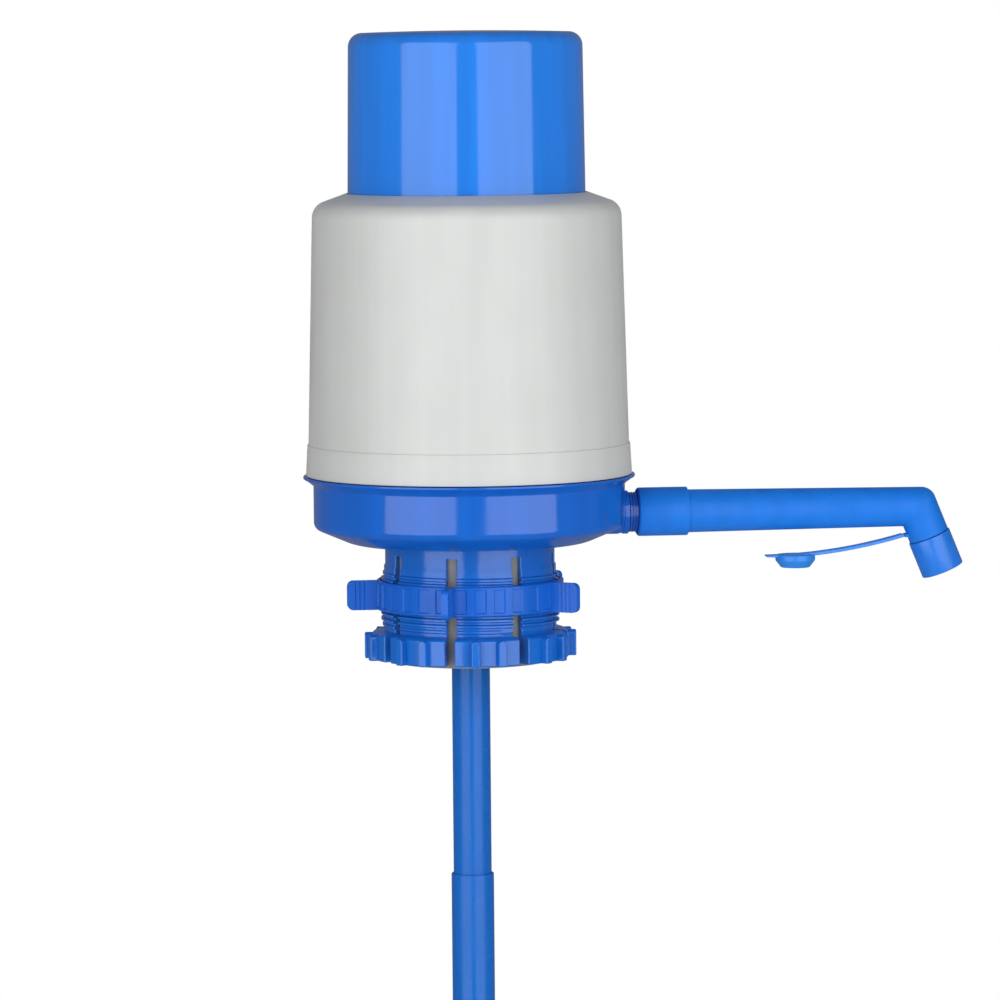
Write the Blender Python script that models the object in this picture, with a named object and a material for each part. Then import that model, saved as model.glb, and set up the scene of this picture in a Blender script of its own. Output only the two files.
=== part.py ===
"""Hand-press pump for a water jug: a press cap over a bellows, a jug-neck collet with a winged clamp
ring, and a spout that turns on a nipple. Metres, +Z up. The origin is on the pump's axis at the face
that sits on the jug's rim, and the spout points along +X."""

import math

import bmesh
import bpy
from mathutils import Matrix, Vector

MM = 0.001

# Clearances
GAP = 0.3 * MM              # between pieces that touch or seat
RUN_GAP = 0.35 * MM         # round a piece that turns or slides
FIT_GAP = 0.12 * MM         # an O-ring in its groove and bore
OVERRUN = 1.0 * MM          # how far a cutter passes a face

# Facets
BIG_SEGMENTS = 48
MEDIUM_SEGMENTS = 30
SMALL_SEGMENTS = 20
SCREW_SEGMENTS = 8
ROUND_STEPS = 3
SHARP_ANGLE = math.radians(35)

# Heights above the rim seat
BASE_BOTTOM_Z = 1.85 * MM
BASE_HEIGHT = 24.15 * MM
BARREL_HEIGHT = 100.7 * MM
CAP_VISIBLE_HEIGHT = 57.0 * MM
BASE_TOP_Z = BASE_BOTTOM_Z + BASE_HEIGHT
BARREL_BOTTOM_Z = BASE_TOP_Z + GAP
BARREL_TOP_Z = BARREL_BOTTOM_Z + BARREL_HEIGHT
CAP_TOP_Z = BARREL_TOP_Z + CAP_VISIBLE_HEIGHT
WALL = 2.2 * MM

# Bowl of the base, which the upper pieces follow
BOWL_R = 55.8 * MM
BOWL_ROUND = 3.0 * MM
BOWL_SLOPE = math.radians(23)
BOWL_SLOPE_REACH = 13.4 * MM
BOWL_WALL = 2.4 * MM
FLANGE_REACH = 3.6 * MM
FLANGE_LIP = 0.8 * MM
FLANGE_DROP = 3.0 * MM
FLOOR_THICKNESS = 3.0 * MM
SPIGOT_ABOVE_BASE = 4.4 * MM
LEDGE_REACH = 2.5 * MM
LEDGE_THICKNESS = 2.0 * MM
LEDGE_DEPTH = 4.6 * MM
PORT_BOSS_R = 7.8 * MM
PORT_BOSS_REACH = 1.4 * MM
PORT_BOSS_INSET = 7.2 * MM
FLANGE_R = BOWL_R + FLANGE_REACH

# Barrel
BARREL_STEP_IN = 1.0 * MM
BAND_FLARE = 0.6 * MM
BAND_STEP = 0.4 * MM
BAND_HEIGHT = 11.0 * MM
BARREL_TAPER = 2.1 * MM
SHOULDER_SLOPE = math.radians(20)
SHOULDER_ROUND = 6.0 * MM
MOUTH_REACH = 12.2 * MM
MOUTH_CLEARANCE = 0.6 * MM
BARREL_FOOT_R = FLANGE_R - BARREL_STEP_IN
BAND_TOP_R = BARREL_FOOT_R - BAND_FLARE - BAND_STEP
SHOULDER_R = BAND_TOP_R - BARREL_TAPER
MOUTH_R = SHOULDER_R - MOUTH_REACH

# Press cap
CAP_DRAFT = 0.7 * MM
CAP_EDGE_ROUND = 5.0 * MM
CAP_RIM_REACH = 3.7 * MM
CAP_RIM_HEIGHT = 6.0 * MM
CAP_RIM_WIDTH = 7.6 * MM
CAP_CROWN = 0.6 * MM
CAP_SKIRT_R = MOUTH_R - MOUTH_CLEARANCE
CAP_TOP_R = CAP_SKIRT_R - CAP_DRAFT
CAP_RIM_R = CAP_SKIRT_R + CAP_RIM_REACH
CAP_RIM_INNER_R = CAP_RIM_R - CAP_RIM_WIDTH

# Screws
SCREW_HEAD_R = 2.6 * MM
SCREW_HEAD_HEIGHT = 1.5 * MM
SCREW_SHANK_R = 1.2 * MM
SCREW_HOLE_R = 1.55 * MM
DECK_SCREW_LENGTH = 11.0 * MM
PLATE_SCREW_LENGTH = 7.0 * MM
PLATE_SCREW_CLEARANCE = 0.5 * MM
COLLET_SCREW_LENGTH = 3.6 * MM
SCREW_COUNT = 4
SCREW_PHASE = math.radians(45)
COLLET_SCREW_PHASE = math.radians(22.5)
RECESS_R_SHARE = 0.45
RECESS_DEPTH_SHARE = 0.5
PLATE_SCREW_CIRCLE_R = CAP_SKIRT_R + GAP

# Bellows plate under the cap
BELLOWS_WALL = 1.0 * MM
PLATE_THICKNESS = 2.4 * MM
PLATE_SPIGOT_R = PLATE_SCREW_CIRCLE_R - SCREW_HEAD_R - PLATE_SCREW_CLEARANCE - BELLOWS_WALL - GAP
SPIGOT_HEIGHT = 4.6 * MM
SPIGOT_WALL = 1.8 * MM
AIR_HOLE_R = 1.5 * MM
AIR_HOLE_CIRCLE_R = 6.0 * MM
AIR_HOLE_COUNT = 6

# Bellows and spring
BELLOWS_CLEARANCE = 3.1 * MM
BELLOWS_FOLD_DEPTH = 8.4 * MM
BELLOWS_FOLDS = 7
BELLOWS_OUTER_R = SHOULDER_R - WALL - BELLOWS_CLEARANCE
BELLOWS_INNER_R = BELLOWS_OUTER_R - BELLOWS_FOLD_DEPTH
SPRING_R = 14.0 * MM
SPRING_WIRE_R = 1.0 * MM
SPRING_TURNS = 8
SPRING_POINTS_PER_TURN = 9
SPRING_SEAT_WALL = 1.6 * MM
SPRING_SEAT_HEIGHT = 3.0 * MM

# Deck plate in the base
DECK_THICKNESS = 3.0 * MM
SEAL_THICKNESS = 1.0 * MM
POST_R = 2.6 * MM
SPIGOT_R = BARREL_FOOT_R - WALL - GAP
SPIGOT_INNER_R = SPIGOT_R - BOWL_WALL
LEDGE_R = SPIGOT_INNER_R - LEDGE_REACH
DECK_R = SPIGOT_INNER_R - GAP
DECK_SCREW_CIRCLE_R = LEDGE_R - GAP - POST_R

# Valves
VALVE_R = 9.0 * MM
VALVE_THICKNESS = 1.0 * MM
VALVE_LIFT = 1.2 * MM
PIN_R = 1.5 * MM
PIN_HEAD_R = 3.4 * MM
PIN_HEAD_HEIGHT = 1.0 * MM
PIN_TAIL = 1.2 * MM

# Jug-neck collet, which grips the jug's crown through a rubber sleeve
SLEEVE_BORE_R = 27.6 * MM
SLEEVE_WALL = 1.0 * MM
SLEEVE_BELOW_TOES = 1.2 * MM
COLLET_WALL = 1.5 * MM
THREAD_HEIGHT = 1.6 * MM
NECK_SMOOTH_DEPTH = 6.2 * MM
THREAD_RAMP = 1.8 * MM
COLLET_FLANGE_REACH = 5.3 * MM
COLLET_FLANGE_THICKNESS = 1.2 * MM
SLOT_COUNT = 8
SLOT_WIDTH = 3.7 * MM
SLOT_TOP_DEPTH = 1.7 * MM
SLOT_PHASE = math.radians(26)
TOE_REACH = 3.3 * MM
TOE_TOP_DEPTH = 30.5 * MM
TOE_HEIGHT = 9.1 * MM
TOE_RIB_REACH = 2.7 * MM
TOE_RIB_WIDTH = 3.0 * MM
TOE_RIB_HEIGHT = 9.4 * MM
TOE_RIB_SPREAD = math.radians(7.5)
RIB_ROOT = 1.5 * MM
NECK_BORE_R = SLEEVE_BORE_R + SLEEVE_WALL + GAP
NECK_R = NECK_BORE_R + COLLET_WALL
THREAD_R = NECK_R + THREAD_HEIGHT
TOE_R = THREAD_R + TOE_REACH
TOE_RIB_R = TOE_R + TOE_RIB_REACH
COLLET_FLANGE_R = NECK_R + COLLET_FLANGE_REACH
COLLET_SCREW_R = (NECK_R + COLLET_FLANGE_R) / 2 + GAP

# Gasket on the jug's rim and the web over it
GASKET_WIDTH = 5.3 * MM
WEB_THICKNESS = 2.0 * MM
WEB_BEYOND_GASKET = 1.0 * MM
GASKET_R = SLEEVE_BORE_R - GAP
GASKET_BORE_R = GASKET_R - GASKET_WIDTH
WEB_BORE_R = GASKET_BORE_R - WEB_BEYOND_GASKET

# Clamp ring
RING_TOP_DEPTH = 11.4 * MM
RING_HEIGHT = 10.6 * MM
RING_WALL = 1.25 * MM
WING_COUNT = 5
WING_PHASE = math.radians(35.5)
WING_REACH = 10.7 * MM
WING_THICKNESS = 2.5 * MM
WING_CORNER = 2.2 * MM
WING_ROOT = 0.6 * MM
RING_BORE_R = THREAD_R + RUN_GAP
RING_R = RING_BORE_R + RING_WALL
WING_TIP_R = RING_R + WING_REACH

# Water way
PORT_HEIGHT = 9.55 * MM
PORT_Z = BASE_BOTTOM_Z + PORT_HEIGHT
PIPE_R = 4.7 * MM
WATER_BORE_R = 3.6 * MM
NIPPLE_R = 7.2 * MM
NIPPLE_LENGTH = 18.5 * MM
NIPPLE_VISIBLE = 3.0 * MM
ELBOW_RADIUS = 7.0 * MM
ELBOW_STEPS = 4
DROP_PIPE_R = 6.1 * MM
DROP_PIPE_DEPTH = 9.0 * MM
O_RING_R = 0.75 * MM
O_RING_GROOVE_R = 6.1 * MM
O_RING_SIDES = 6
O_RING_PLACES_FROM_TIP = (3.2 * MM, 7.6 * MM)
NIPPLE_START_X = BOWL_R + PORT_BOSS_REACH + GAP
NIPPLE_END_X = NIPPLE_START_X + NIPPLE_LENGTH

# Spout
SOCKET_LENGTH = 18.35 * MM
SOCKET_R = 8.75 * MM
SOCKET_CHAMFER = 0.8 * MM
SPOUT_START_R = 7.75 * MM
SPOUT_END_R = 7.1 * MM
SPOUT_BORE_R = 5.0 * MM
SPOUT_REACH = 102.75 * MM
BEND_OUTER_ROUND = 5.3 * MM
BEND_INNER_ROUND = 0.9 * MM
BEND_ANGLE = math.radians(68)
BEND_STEPS = 6
NOZZLE_R = 7.4 * MM
NOZZLE_LENGTH = 25.0 * MM
NOZZLE_SLEEVE_LENGTH = 13.7 * MM
NOZZLE_SLEEVE_R = 7.8 * MM
NOZZLE_SPIGOT_R = 6.0 * MM
MOUTH_BORE_R = 4.8 * MM
SOCKET_START_X = NIPPLE_START_X + NIPPLE_VISIBLE
BEND_X = SOCKET_START_X + SPOUT_REACH

# Dust cap on its strap
STRAP_ROOT_BACK = 5.65 * MM
STRAP_ROOT_DROP = 10.35 * MM
STRAP_THICKNESS = 1.2 * MM
STRAP_WIDTH = 5.0 * MM
STRAP_LENGTH = 50.0 * MM
STRAP_FALL = 6.8 * MM
STRAP_STEPS = 8
LUG_REACH = 3.1 * MM
PLUG_FROM_END = 10.8 * MM
PLUG_TOP_R = 7.2 * MM
PLUG_TIP_R = 5.2 * MM
PLUG_DEPTH = 2.6 * MM
PLUG_RIM_HEIGHT = 2.0 * MM
PLUG_WALL = 1.2 * MM
STRAP_ROOT = Vector((BEND_X - STRAP_ROOT_BACK, 0, PORT_Z - STRAP_ROOT_DROP))

# Dip tubes
TUBE_R = 6.85 * MM
TUBE_WALL = 0.6 * MM
SOCKET_TUBE_WALL = 0.68 * MM
SOCKET_TUBE_R = TUBE_R + FIT_GAP + SOCKET_TUBE_WALL
TUBE_JOINT_OVERLAP = 12.0 * MM
TUBE_TOP_DEPTH = -2.4 * MM
UPPER_TUBE_END_DEPTH = 118.0 * MM
MIDDLE_TUBE_END_DEPTH = 272.0 * MM
LOWER_TUBE_END_DEPTH = 430.0 * MM
FOOT_NOTCH = 8.0 * MM

CAP_BLUE = (0.035, 0.175, 0.67)
BASE_BLUE = (0.015, 0.11, 0.42)
SPOUT_BLUE = (0.02, 0.215, 0.78)
SHELL_WHITE = (0.72, 0.74, 0.74)
RUBBER_GREY = (0.33, 0.31, 0.29)
SEAL_BLACK = (0.03, 0.03, 0.03)
INNER_WHITE = (0.8, 0.8, 0.78)
STEEL = (0.62, 0.62, 0.62)


def clear_scene():
    for item in list(bpy.data.objects):
        bpy.data.objects.remove(item, do_unlink=True)


def make_material(name, colour, roughness, metallic=0.0):
    material = bpy.data.materials.new(name)
    material.use_nodes = True
    shader = material.node_tree.nodes["Principled BSDF"]
    shader.inputs["Base Color"].default_value = (*colour, 1.0)
    shader.inputs["Roughness"].default_value = roughness
    shader.inputs["Metallic"].default_value = metallic
    return material


def add_object(name, shape, material):
    """Makes an object from points and faces, with its faces pointing out."""
    points, faces = shape
    mesh = bpy.data.meshes.new(name)
    mesh.from_pydata([tuple(p) for p in points], [], faces)
    work = bmesh.new()
    work.from_mesh(mesh)
    bmesh.ops.recalc_face_normals(work, faces=work.faces)
    work.to_mesh(mesh)
    work.free()
    mesh.shade_smooth()
    mesh.set_sharp_from_angle(angle=SHARP_ANGLE)
    mesh.materials.append(material)
    item = bpy.data.objects.new(name, mesh)
    bpy.context.scene.collection.objects.link(item)
    return item


def lathe(outline, segments):
    """Turns an outline of (radius, height) points round Z. One that starts and ends on the axis
    is a solid of revolution, and any other is a closed ring."""
    points = []
    rings = []
    for radius, height in outline:
        if radius == 0:
            rings.append([len(points)] * segments)
            points.append(Vector((0, 0, height)))
            continue
        rings.append([len(points) + k for k in range(segments)])
        for k in range(segments):
            turn = 2 * math.pi * k / segments
            points.append(Vector((radius * math.cos(turn), radius * math.sin(turn), height)))
    pairs = list(zip(rings, rings[1:]))
    if outline[0][0] != 0:
        pairs.append((rings[-1], rings[0]))
    faces = []
    for lower, upper in pairs:
        for k in range(segments):
            after = (k + 1) % segments
            corners = (lower[k], lower[after], upper[after], upper[k])
            face = tuple(dict.fromkeys(corners))
            if len(face) > 2:
                faces.append(face)
    return points, faces


def placed(shape, matrix):
    points, faces = shape
    return [matrix @ p for p in points], faces


def together(shapes):
    points = []
    faces = []
    for more_points, more_faces in shapes:
        start = len(points)
        points += more_points
        faces += [tuple(start + k for k in face) for face in more_faces]
    return points, faces


def arc(centre_r, centre_z, radius_r, radius_z, start, stop, steps=ROUND_STEPS):
    """Points of an elliptical arc from start to stop, in degrees."""
    points = []
    for k in range(steps + 1):
        turn = math.radians(start + (stop - start) * k / steps)
        points.append((centre_r + radius_r * math.cos(turn), centre_z + radius_z * math.sin(turn)))
    return points


def disc(radius, low, high, segments):
    return lathe([(0, low), (radius, low), (radius, high), (0, high)], segments)


def ring_outline(inner, outer, low, high):
    return [(inner, low), (outer, low), (outer, high), (inner, high)]


def slab(outline, low, high):
    """A flat outline of (x, y) points, standing from low to high."""
    count = len(outline)
    points = [Vector((x, y, low)) for x, y in outline] + [Vector((x, y, high)) for x, y in outline]
    faces = [tuple(range(count)), tuple(range(count, 2 * count))]
    for k in range(count):
        after = (k + 1) % count
        faces.append((k, after, count + after, count + k))
    return points, faces


def hoop(centre, direction, radius):
    """A ring of points across a pipe that lies in the XZ plane."""
    side = Vector((0, 1, 0))
    up = side.cross(direction).normalized()
    turns = [2 * math.pi * k / SMALL_SEGMENTS for k in range(SMALL_SEGMENTS)]
    return [centre + radius * (math.cos(turn) * side - math.sin(turn) * up) for turn in turns]


def pipe(rings):
    """A pipe as a closed run of rings, along its outside and back through its bore."""
    segments = SMALL_SEGMENTS
    points = [place for ring in rings for place in ring]
    faces = []
    count = len(rings)
    for ring in range(count):
        following = (ring + 1) % count
        for k in range(segments):
            after = (k + 1) % segments
            faces.append((ring * segments + k, ring * segments + after,
                          following * segments + after, following * segments + k))
    return points, faces


def add_tool(name, shape):
    """A shape that only cuts or joins, left out of the model itself."""
    tool = add_object(name, shape, GUIDE)
    tool.hide_render = True
    tool.display_type = "WIRE"
    return tool


def shape_with(item, tool, operation):
    change = item.modifiers.new(operation.title() + "_" + tool.name, "BOOLEAN")
    change.operation = operation
    change.solver = "EXACT"
    change.object = tool


def cut(item, name, shape):
    shape_with(item, add_tool(name, shape), "DIFFERENCE")


def join(item, name, shape):
    shape_with(item, add_tool(name, shape), "UNION")


def spin(turn):
    return Matrix.Rotation(turn, 4, "Z")


def shift(x=0, y=0, z=0):
    return Matrix.Translation((x, y, z))


def on_circle(shape, radius, count, phase=0):
    """Copies of a shape on a circle round the pump's axis, each turned to face outwards."""
    turns = [phase + 2 * math.pi * k / count for k in range(count)]
    return together([placed(shape, spin(turn) @ shift(x=radius)) for turn in turns])


def along_x(shape):
    """Lays a shape turned round Z along +X, at the height of the water port."""
    return placed(shape, shift(z=PORT_Z) @ Matrix.Rotation(math.pi / 2, 4, "Y"))


def add_axis(name, place, parent=None):
    """An empty on a joint's axis, which carries the pieces that move there."""
    axis = bpy.data.objects.new(name, None)
    bpy.context.scene.collection.objects.link(axis)
    axis.location = place
    if parent:
        axis.parent = parent
        axis.location = Vector(place) - PLACES[parent.name]
    PLACES[name] = Vector(place)
    return axis


def carry(item, axis):
    item.parent = axis
    item.location = -PLACES[axis.name]


def screw(length):
    """A pan-head screw, head down to z = 0 at its underside, with a round driver recess."""
    recess_r = SCREW_HEAD_R * RECESS_R_SHARE
    recess_floor = SCREW_HEAD_HEIGHT * (1 - RECESS_DEPTH_SHARE)
    return lathe([
        (0, -length),
        (SCREW_SHANK_R, -length + SCREW_SHANK_R),
        (SCREW_SHANK_R, 0),
        (SCREW_HEAD_R, 0),
        (SCREW_HEAD_R, recess_floor),
        (SCREW_HEAD_R - SCREW_HEAD_HEIGHT + recess_floor, SCREW_HEAD_HEIGHT),
        (recess_r, SCREW_HEAD_HEIGHT),
        (recess_r, recess_floor),
        (0, recess_floor),
    ], SCREW_SEGMENTS)


def add_screws(name, length, circle_r, seat_z, axis, upwards=False, phase=SCREW_PHASE):
    """A circle of screws whose heads seat at seat_z. Upwards ones are driven from below."""
    for k in range(SCREW_COUNT):
        turn = phase + 2 * math.pi * k / SCREW_COUNT
        flip = Matrix.Rotation(math.pi if upwards else 0, 4, "X")
        place = spin(turn) @ shift(x=circle_r, z=seat_z) @ flip
        item = add_object(f"{name}_{k + 1}", placed(screw(length), place), STEEL_MATERIAL)
        carry(item, axis)


def screw_holes(circle_r, low, high, phase=SCREW_PHASE):
    hole = disc(SCREW_HOLE_R, low, high, SCREW_SEGMENTS)
    return on_circle(hole, circle_r, SCREW_COUNT, phase)


# Places that more than one piece follows
CAP_RIM_TOP_Z = BARREL_TOP_Z - WALL - GAP
CAP_RIM_BOTTOM_Z = CAP_RIM_TOP_Z - CAP_RIM_HEIGHT
PLATE_TOP_Z = CAP_RIM_BOTTOM_Z - GAP
PLATE_BOTTOM_Z = PLATE_TOP_Z - PLATE_THICKNESS
DECK_TOP_Z = BASE_TOP_Z
DECK_BOTTOM_Z = DECK_TOP_Z - DECK_THICKNESS
SEAL_TOP_Z = DECK_BOTTOM_Z - GAP
LEDGE_TOP_Z = SEAL_TOP_Z - SEAL_THICKNESS - GAP
FLOOR_TOP_Z = BASE_BOTTOM_Z + FLOOR_THICKNESS
COLLET_FLANGE_BOTTOM_Z = FLOOR_TOP_Z + GAP
COLLET_FLANGE_TOP_Z = COLLET_FLANGE_BOTTOM_Z + COLLET_FLANGE_THICKNESS
WEB_BOTTOM_Z = BASE_BOTTOM_Z
TOE_BOTTOM_Z = -TOE_TOP_DEPTH - TOE_HEIGHT
SPRING_BOTTOM_Z = DECK_TOP_Z + GAP + SPRING_WIRE_R
SPRING_TOP_Z = PLATE_BOTTOM_Z - GAP - SPRING_WIRE_R
PLACES = {}


def shoulder_z(radius):
    """The height of the barrel's sloping top."""
    return BARREL_TOP_Z - (radius - MOUTH_R) * math.tan(SHOULDER_SLOPE)


def make_barrel(axis):
    low = BARREL_BOTTOM_Z
    top = BARREL_TOP_Z
    band = low + BAND_HEIGHT
    corner_r = SHOULDER_R - SHOULDER_ROUND
    edge_r = corner_r + SHOULDER_ROUND * math.sin(SHOULDER_SLOPE)
    edge_z = shoulder_z(edge_r)
    corner_z = edge_z - SHOULDER_ROUND * math.cos(SHOULDER_SLOPE)
    inner_round = SHOULDER_ROUND - WALL
    steep = 90 - math.degrees(SHOULDER_SLOPE)
    shoulder = arc(corner_r, corner_z, SHOULDER_ROUND, SHOULDER_ROUND, steep, 0)
    inside = arc(corner_r, corner_z, inner_round, inner_round, 0, steep)
    outline = [(MOUTH_R, top)] + shoulder + [
        (BAND_TOP_R, band),
        (BAND_TOP_R + BAND_STEP, band),
        (BARREL_FOOT_R, low),
        (BARREL_FOOT_R - WALL, low),
        (BARREL_FOOT_R - WALL, BASE_TOP_Z + SPIGOT_ABOVE_BASE + GAP),
        (BAND_TOP_R - WALL, band),
    ] + inside + [(MOUTH_R, top - WALL / math.cos(SHOULDER_SLOPE))]
    carry(add_object("barrel", lathe(outline, BIG_SEGMENTS), SHELL), axis)


def make_press_cap(axis):
    top = CAP_TOP_Z
    edge = arc(CAP_TOP_R - CAP_EDGE_ROUND, top - CAP_EDGE_ROUND, CAP_EDGE_ROUND, CAP_EDGE_ROUND, 90, 0)
    inner_edge = arc(CAP_TOP_R - CAP_EDGE_ROUND, top - CAP_EDGE_ROUND, CAP_EDGE_ROUND - WALL,
                     CAP_EDGE_ROUND - WALL, 0, 90)
    outline = [(0, top + CAP_CROWN)] + edge + [
        (CAP_SKIRT_R, CAP_RIM_TOP_Z),
        (CAP_RIM_R, CAP_RIM_TOP_Z - CAP_RIM_REACH * math.tan(SHOULDER_SLOPE)),
        (CAP_RIM_R, CAP_RIM_BOTTOM_Z),
        (CAP_RIM_INNER_R, CAP_RIM_BOTTOM_Z),
        (CAP_RIM_INNER_R, CAP_RIM_TOP_Z),
        (CAP_SKIRT_R - WALL, CAP_RIM_TOP_Z + CAP_RIM_HEIGHT),
    ] + inner_edge + [(0, top + CAP_CROWN - WALL)]
    cap = add_object("press_cap", lathe(outline, BIG_SEGMENTS), CAP)
    depth = PLATE_SCREW_LENGTH - PLATE_THICKNESS
    holes = screw_holes(PLATE_SCREW_CIRCLE_R, CAP_RIM_BOTTOM_Z - OVERRUN, CAP_RIM_BOTTOM_Z + depth)
    cut(cap, "cap_screw_holes", holes)
    carry(cap, axis)


def add_plate(name, outline, screw_circle, low, high, axis):
    """A round plate with a ring of air holes, a hole for the valve's pin and screw holes."""
    plate = add_object(name, lathe(outline, MEDIUM_SEGMENTS), INNER)
    air_hole = disc(AIR_HOLE_R, low - OVERRUN, high + OVERRUN, SCREW_SEGMENTS)
    pin_hole = disc(PIN_R + FIT_GAP, low - OVERRUN, high + OVERRUN, SMALL_SEGMENTS)
    cut(plate, name + "_air_holes", on_circle(air_hole, AIR_HOLE_CIRCLE_R, AIR_HOLE_COUNT))
    cut(plate, name + "_pin_hole", pin_hole)
    cut(plate, name + "_screw_holes", screw_holes(screw_circle, low - OVERRUN, high + OVERRUN))
    carry(plate, axis)
    return plate


def make_cap_plate(axis):
    low = PLATE_BOTTOM_Z
    seat_r = SPRING_R + SPRING_WIRE_R + RUN_GAP
    outline = [
        (0, PLATE_TOP_Z),
        (CAP_RIM_R, PLATE_TOP_Z),
        (CAP_RIM_R, low),
        (PLATE_SPIGOT_R, low),
        (PLATE_SPIGOT_R, low - SPIGOT_HEIGHT),
        (PLATE_SPIGOT_R - SPIGOT_WALL, low - SPIGOT_HEIGHT),
        (PLATE_SPIGOT_R - SPIGOT_WALL, low),
        (seat_r + SPRING_SEAT_WALL, low),
        (seat_r + SPRING_SEAT_WALL, low - SPRING_SEAT_HEIGHT),
        (seat_r, low - SPRING_SEAT_HEIGHT),
        (seat_r, low),
        (0, low),
    ]
    add_plate("bellows_top_plate", outline, PLATE_SCREW_CIRCLE_R, low, PLATE_TOP_Z, axis)
    add_screws("plate_screw", PLATE_SCREW_LENGTH, PLATE_SCREW_CIRCLE_R, low - GAP, axis, True)


def make_deck(axis):
    low = DECK_BOTTOM_Z
    top = DECK_TOP_Z
    seat_r = SPRING_R + SPRING_WIRE_R + RUN_GAP
    outline = [
        (0, low),
        (DECK_R, low),
        (DECK_R, top),
        (PLATE_SPIGOT_R, top),
        (PLATE_SPIGOT_R, top + SPIGOT_HEIGHT),
        (PLATE_SPIGOT_R - SPIGOT_WALL, top + SPIGOT_HEIGHT),
        (PLATE_SPIGOT_R - SPIGOT_WALL, top),
        (seat_r + SPRING_SEAT_WALL, top),
        (seat_r + SPRING_SEAT_WALL, top + SPRING_SEAT_HEIGHT),
        (seat_r, top + SPRING_SEAT_HEIGHT),
        (seat_r, top),
        (0, top),
    ]
    add_plate("valve_deck", outline, DECK_SCREW_CIRCLE_R, low, top, axis)
    add_screws("deck_screw", DECK_SCREW_LENGTH, DECK_SCREW_CIRCLE_R, top + GAP, axis)
    seal = ring_outline(LEDGE_R, DECK_R, SEAL_TOP_Z - SEAL_THICKNESS, SEAL_TOP_Z)
    carry(add_object("deck_seal", lathe(seal, MEDIUM_SEGMENTS), SEAL), axis)


def make_valve(name, plate_bottom, plate_top, axis, valve_axis):
    """A rubber disc under a plate's air holes, and the headed pin that it lifts along."""
    high = plate_bottom - GAP
    disc_outline = ring_outline(PIN_R + RUN_GAP, VALVE_R, high - VALVE_THICKNESS, high)
    valve = add_object(name + "_valve", lathe(disc_outline, SMALL_SEGMENTS), SEAL)
    carry(valve, valve_axis)
    head_top = high - VALVE_THICKNESS - VALVE_LIFT - GAP
    pin = lathe([
        (0, head_top - PIN_HEAD_HEIGHT),
        (PIN_HEAD_R, head_top - PIN_HEAD_HEIGHT),
        (PIN_HEAD_R, head_top),
        (PIN_R, head_top),
        (PIN_R, plate_top + GAP),
        (PIN_R + FIT_GAP + GAP, plate_top + GAP),
        (PIN_R, plate_top + GAP + PIN_TAIL),
        (0, plate_top + GAP + PIN_TAIL),
    ], SMALL_SEGMENTS)
    carry(add_object(name + "_pin", pin, INNER), axis)


def make_bellows(axis):
    low = DECK_TOP_Z + GAP
    high = PLATE_BOTTOM_Z - GAP
    cuff_r = PLATE_SPIGOT_R + GAP
    first = low + SPIGOT_HEIGHT
    last = high - SPIGOT_HEIGHT
    step = (last - first) / (2 * BELLOWS_FOLDS)
    outside = [(cuff_r + BELLOWS_WALL, low)]
    inside = [(cuff_r, low)]
    for k in range(2 * BELLOWS_FOLDS + 1):
        radius = BELLOWS_OUTER_R if k % 2 else BELLOWS_INNER_R
        outside.append((radius, first + k * step))
        inside.append((radius - BELLOWS_WALL, first + k * step))
    outside.append((cuff_r + BELLOWS_WALL, high))
    inside.append((cuff_r, high))
    shape = lathe(outside + inside[::-1], MEDIUM_SEGMENTS)
    carry(add_object("bellows", shape, RUBBER), axis)


def make_spring(axis):
    """A compression spring with closed end turns, as one wire."""
    count = SPRING_TURNS * SPRING_POINTS_PER_TURN
    closed_pitch = 2 * SPRING_WIRE_R + 2 * GAP
    middle = SPRING_TOP_Z - SPRING_BOTTOM_Z - 2 * closed_pitch
    route = []
    for k in range(count + 1):
        turns = k / SPRING_POINTS_PER_TURN
        if turns <= 1:
            height = closed_pitch * turns
        elif turns >= SPRING_TURNS - 1:
            height = closed_pitch + middle + closed_pitch * (turns - SPRING_TURNS + 1)
        else:
            height = closed_pitch + middle * (turns - 1) / (SPRING_TURNS - 2)
        turn = 2 * math.pi * turns
        route.append(Vector((SPRING_R * math.cos(turn), SPRING_R * math.sin(turn),
                             SPRING_BOTTOM_Z + height)))
    wire = bpy.data.curves.new("return_spring", "CURVE")
    wire.dimensions = "3D"
    wire.bevel_depth = SPRING_WIRE_R
    wire.bevel_resolution = 1
    wire.use_fill_caps = True
    line = wire.splines.new("POLY")
    line.points.add(len(route) - 1)
    for knot, place in zip(line.points, route):
        knot.co = (*place, 1.0)
    wire.materials.append(STEEL_MATERIAL)
    spring = bpy.data.objects.new("return_spring", wire)
    bpy.context.scene.collection.objects.link(spring)
    carry(spring, axis)
    return least_gap(route, 2 * SPRING_WIRE_R)


def least_gap(route, thickness):
    """The least gap between turns, from points half a turn or more apart along the wire."""
    apart = SPRING_POINTS_PER_TURN // 2 + 1
    spans = [(a - b).length for k, a in enumerate(route) for b in route[k + apart:]]
    return min(spans) - thickness


def slope_rise(radius):
    """How far the bowl's underside has risen at a radius."""
    return (radius - BOWL_R + BOWL_SLOPE_REACH) * math.tan(BOWL_SLOPE)


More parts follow.
